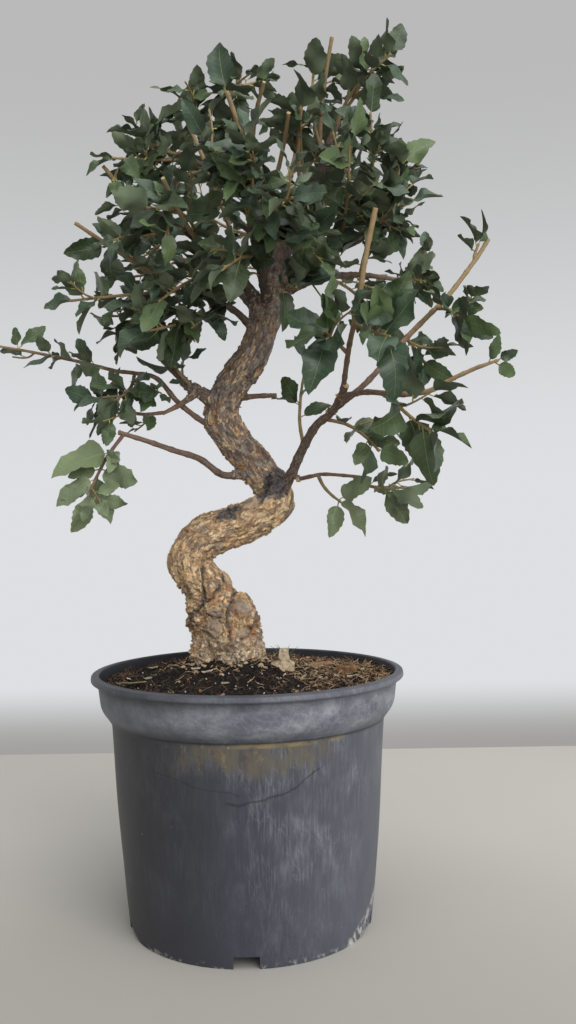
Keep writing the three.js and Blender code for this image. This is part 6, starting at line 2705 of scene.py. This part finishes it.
@dataclass
class BarkChips:
    """Loose pieces of bark and wood that lie on the soil."""

    effects: Effects
    soil: SoilBed
    chips: tuple = (
        ((23, 7), (16, 6, 15), -6, 8, 1.8), ((46, 53), (19, 8, 5), 24, 8, 1.8),
        ((63, 36), (15, 9, 5), -35, -8, 1.8),
    )

    def chip(self, number: int) -> bpy.types.Mesh:
        """Builds one piece: a worn block, split along its grain.

        Args:
            number: its number, from 0.

        Returns:
            The mesh.
        """
        at, size, turn, lean, sunk = self.chips[number]
        steps = [max(int(side / 0.8), 4) for side in size]
        points, faces = self.block(steps)
        points = points * np.array(size) / 2
        worn = []
        for point in points:
            spot = Vector(point) + Vector((number * 31, 7, 3))
            narrow = 1.0
            if number == 0:
                narrow = 1.0 - 0.64 * clamp((point[2] + 2.6) / 2.2)
            split = noise.noise(Vector((spot.x * 0.9, spot.y * 0.5, spot.z * 0.18))) * 0.9
            lump = noise.fractal(spot * 0.22, 0.8, 2.0, 3) * 1.1
            shape = np.array([point[0] * narrow - 2.4 * narrow * (number == 0),
                              point[1] * (0.8 + 0.2 * narrow), point[2]])
            worn.append(shape * (1 - 0.12 * np.sum((point / np.array(size) * 2) ** 4) / 3)
                        + unit(point + 1e-6) * (split + lump) * 0.6)
        x, y, z = np.array(worn).T
        y, z = spun(y, z, math.radians(lean))
        x, y = spun(x, y, math.radians(turn))
        level = self.soil.level(*at) + size[2] / 2 - sunk
        points = np.stack([x + at[0], y + at[1], z + level], 1)
        tone = [0.5 + 0.5 * noise.noise(Vector(point) * 0.3) for point in points]
        return new_mesh(f"chip_{number}", points, faces, {"tone": tone})

    @staticmethod
    def block(steps: list[int]) -> tuple[np.ndarray, list]:
        """Gives a block from -1 to 1 with a grid on each side.

        Args:
            steps: number of faces along each edge.

        Returns:
            Its points and faces, without doubles.
        """
        points, faces, known = [], [], {}

        def vertex(place: tuple) -> int:
            """Gives the number of the vertex at a place."""
            key = tuple(round(value, 5) for value in place)
            if key not in known:
                known[key] = len(points)
                points.append(key)
            return known[key]

        for axis in range(3):
            first, second = (axis + 1) % 3, (axis + 2) % 3
            for sign in (-1, 1):
                for i in range(steps[first]):
                    for j in range(steps[second]):
                        corners = []
                        for a, b in ((i, j), (i + 1, j), (i + 1, j + 1), (i, j + 1)):
                            place = [0.0, 0.0, 0.0]
                            place[axis] = sign
                            place[first] = a / steps[first] * 2 - 1
                            place[second] = b / steps[second] * 2 - 1
                            corners.append(vertex(tuple(place)))
                        faces.append(tuple(corners if sign > 0 else reversed(corners)))
        return np.array(points, float), faces

    def build(self) -> None:
        """Builds and dresses the three pieces."""
        shades = (((0.72, 0.60, 0.42, 1), (0.54, 0.43, 0.29, 1)),
                  ((0.42, 0.24, 0.12, 1), (0.24, 0.13, 0.07, 1)),
                  ((0.40, 0.22, 0.11, 1), (0.22, 0.12, 0.06, 1)))
        for number, (first, second) in enumerate(shades):
            name = f"loose_bark_{number + 1}"
            finish = Debris(self.effects, name, first, second, (0.085, 0.060, 0.045, 1), 380.0, 0.5)
            settle(name, self.chip(number), finish.material(), Slot.CHIP, f"bark_chip_{number + 1}",
                   crease=60)


# Stage


@dataclass
class Stage:
    """Pale table, pale surroundings, soft light and the camera."""

    camera_place: Point = (26, -610, 246)
    camera_roll: float = 0.9
    lens: float = 998 * 36 / 1024
    table_edge: float = 0.42
    pale: tuple = (0.73, 0.74, 0.76, 1)

    def floor(self) -> None:
        """Builds the table, painted darker towards its front as painted shade, and the glowing pale ground
        beyond it, with a band of painted shade along the table's edge.
        """
        material, bench, shader = start_material("pale_table")
        place = bench.place()
        _, y, _ = bench.separate(place)
        cloud = bench.noise(place, 3.0, 3)
        table = bench.mix(cloud, (0.53, 0.515, 0.475, 1), (0.60, 0.585, 0.550, 1))
        # Painted shade: the table is painted darker towards its front
        dim = bench.times(bench.spread(y, 0.20, -0.25, 0, 0.52), bench.spread(y, -0.9, -0.35))
        table = bench.mix(dim, table, (0.20, 0.19, 0.165, 1))
        # Beyond the table's edge the ground glows as the pale backdrop, with painted shade in a band along
        # the edge that fades out over 0.42 m
        far = bench.spread(y, self.table_edge - 0.001, self.table_edge + 0.001)
        dusk = bench.mix(bench.spread(y, self.table_edge, self.table_edge + 0.42), (0.36, 0.355, 0.345, 1),
                         self.pale)
        bench.feed(shader.inputs["Base Color"], bench.mix(far, table, (0, 0, 0, 1)))
        bench.feed(shader.inputs["Emission Color"], bench.mix(far, (0, 0, 0, 1), dusk))
        shader.inputs["Emission Strength"].default_value = 1.0
        set_gloss(shader, 0.8, 0.0)
        size = 30000
        corners = np.array([(-size, -size, 0), (size, -size, 0), (size, size, 0), (-size, size, 0)])
        ground = put("ground", new_mesh("ground", corners, [(0, 1, 2, 3)]))
        ground.data.materials.append(material)

    def air(self) -> None:
        """Sets the pale surroundings, brightest at the level of the table."""
        world = bpy.data.worlds.new("pale_room")
        world.use_nodes = True
        bench = Bench(world.node_tree)
        back = world.node_tree.nodes["Background"]
        height = bench.separate(bench.node("ShaderNodeTexCoord").outputs["Generated"])[2]
        color = bench.mix(bench.spread(height, 0.02, 0.42), self.pale, (0.49, 0.49, 0.49, 1))
        bench.feed(back.inputs["Color"], color)
        back.inputs["Strength"].default_value = 1.0
        bpy.context.scene.world = world

    def lamp(self, name: str, place: Point, aim: Point, size: float, power: float, color: tuple) -> None:
        """Adds a soft square light.

        Args:
            name: its name.
            place: where it hangs, in metres.
            aim: the point that it faces.
            size: its side in metres.
            power: its power in watts.
            color: its colour.
        """
        light = bpy.data.lights.new(name, "AREA")
        light.shape, light.size, light.energy, light.color = "SQUARE", size, power, color
        lamp = put(name, light)
        lamp.location = place
        lamp.rotation_euler = (Vector(aim) - Vector(place)).to_track_quat("-Z", "Y").to_euler()

    def camera(self) -> None:
        """Sets the camera where the photograph was taken from."""
        data = bpy.data.cameras.new("camera")
        data.lens = self.lens
        data.sensor_width = 36
        data.clip_start, data.clip_end = 0.01, 100
        camera = put("camera", data)
        camera.location = Vector(self.camera_place) * MM
        camera.rotation_euler = (math.radians(90), math.radians(self.camera_roll), 0)
        bpy.context.scene.camera = camera

    def build(self) -> None:
        """Builds the stage."""
        self.floor()
        self.air()
        self.lamp("overhead", (0.25, -0.35, 1.5), (0, 0, 0.3), 1.3, 10, (1.0, 0.99, 0.97))
        self.lamp("window", (0.95, -1.75, 1.0), (0, 0, 0.25), 1.6, 32, (1.0, 0.99, 0.98))
        self.camera()
        bpy.context.scene.view_settings.view_transform = "Standard"


def main() -> None:
    """Builds the whole part and its stage."""
    logging.basicConfig(level=logging.INFO, format="%(name)s %(message)s")
    effects = Effects()
    stems, leaves, strew = StemRecipe(), LeafRecipe(), ScatterRecipe()
    soil = SoilBed(effects, strew, stems)
    for assembly in (Stage(), NurseryPot(effects), soil, BarkChips(effects, soil), Tree(effects, stems),
                     Crown(effects, stems, leaves)):
        assembly.build()
        log.info("%s is in place", type(assembly).__name__)


if __name__ == "__main__":
    main()
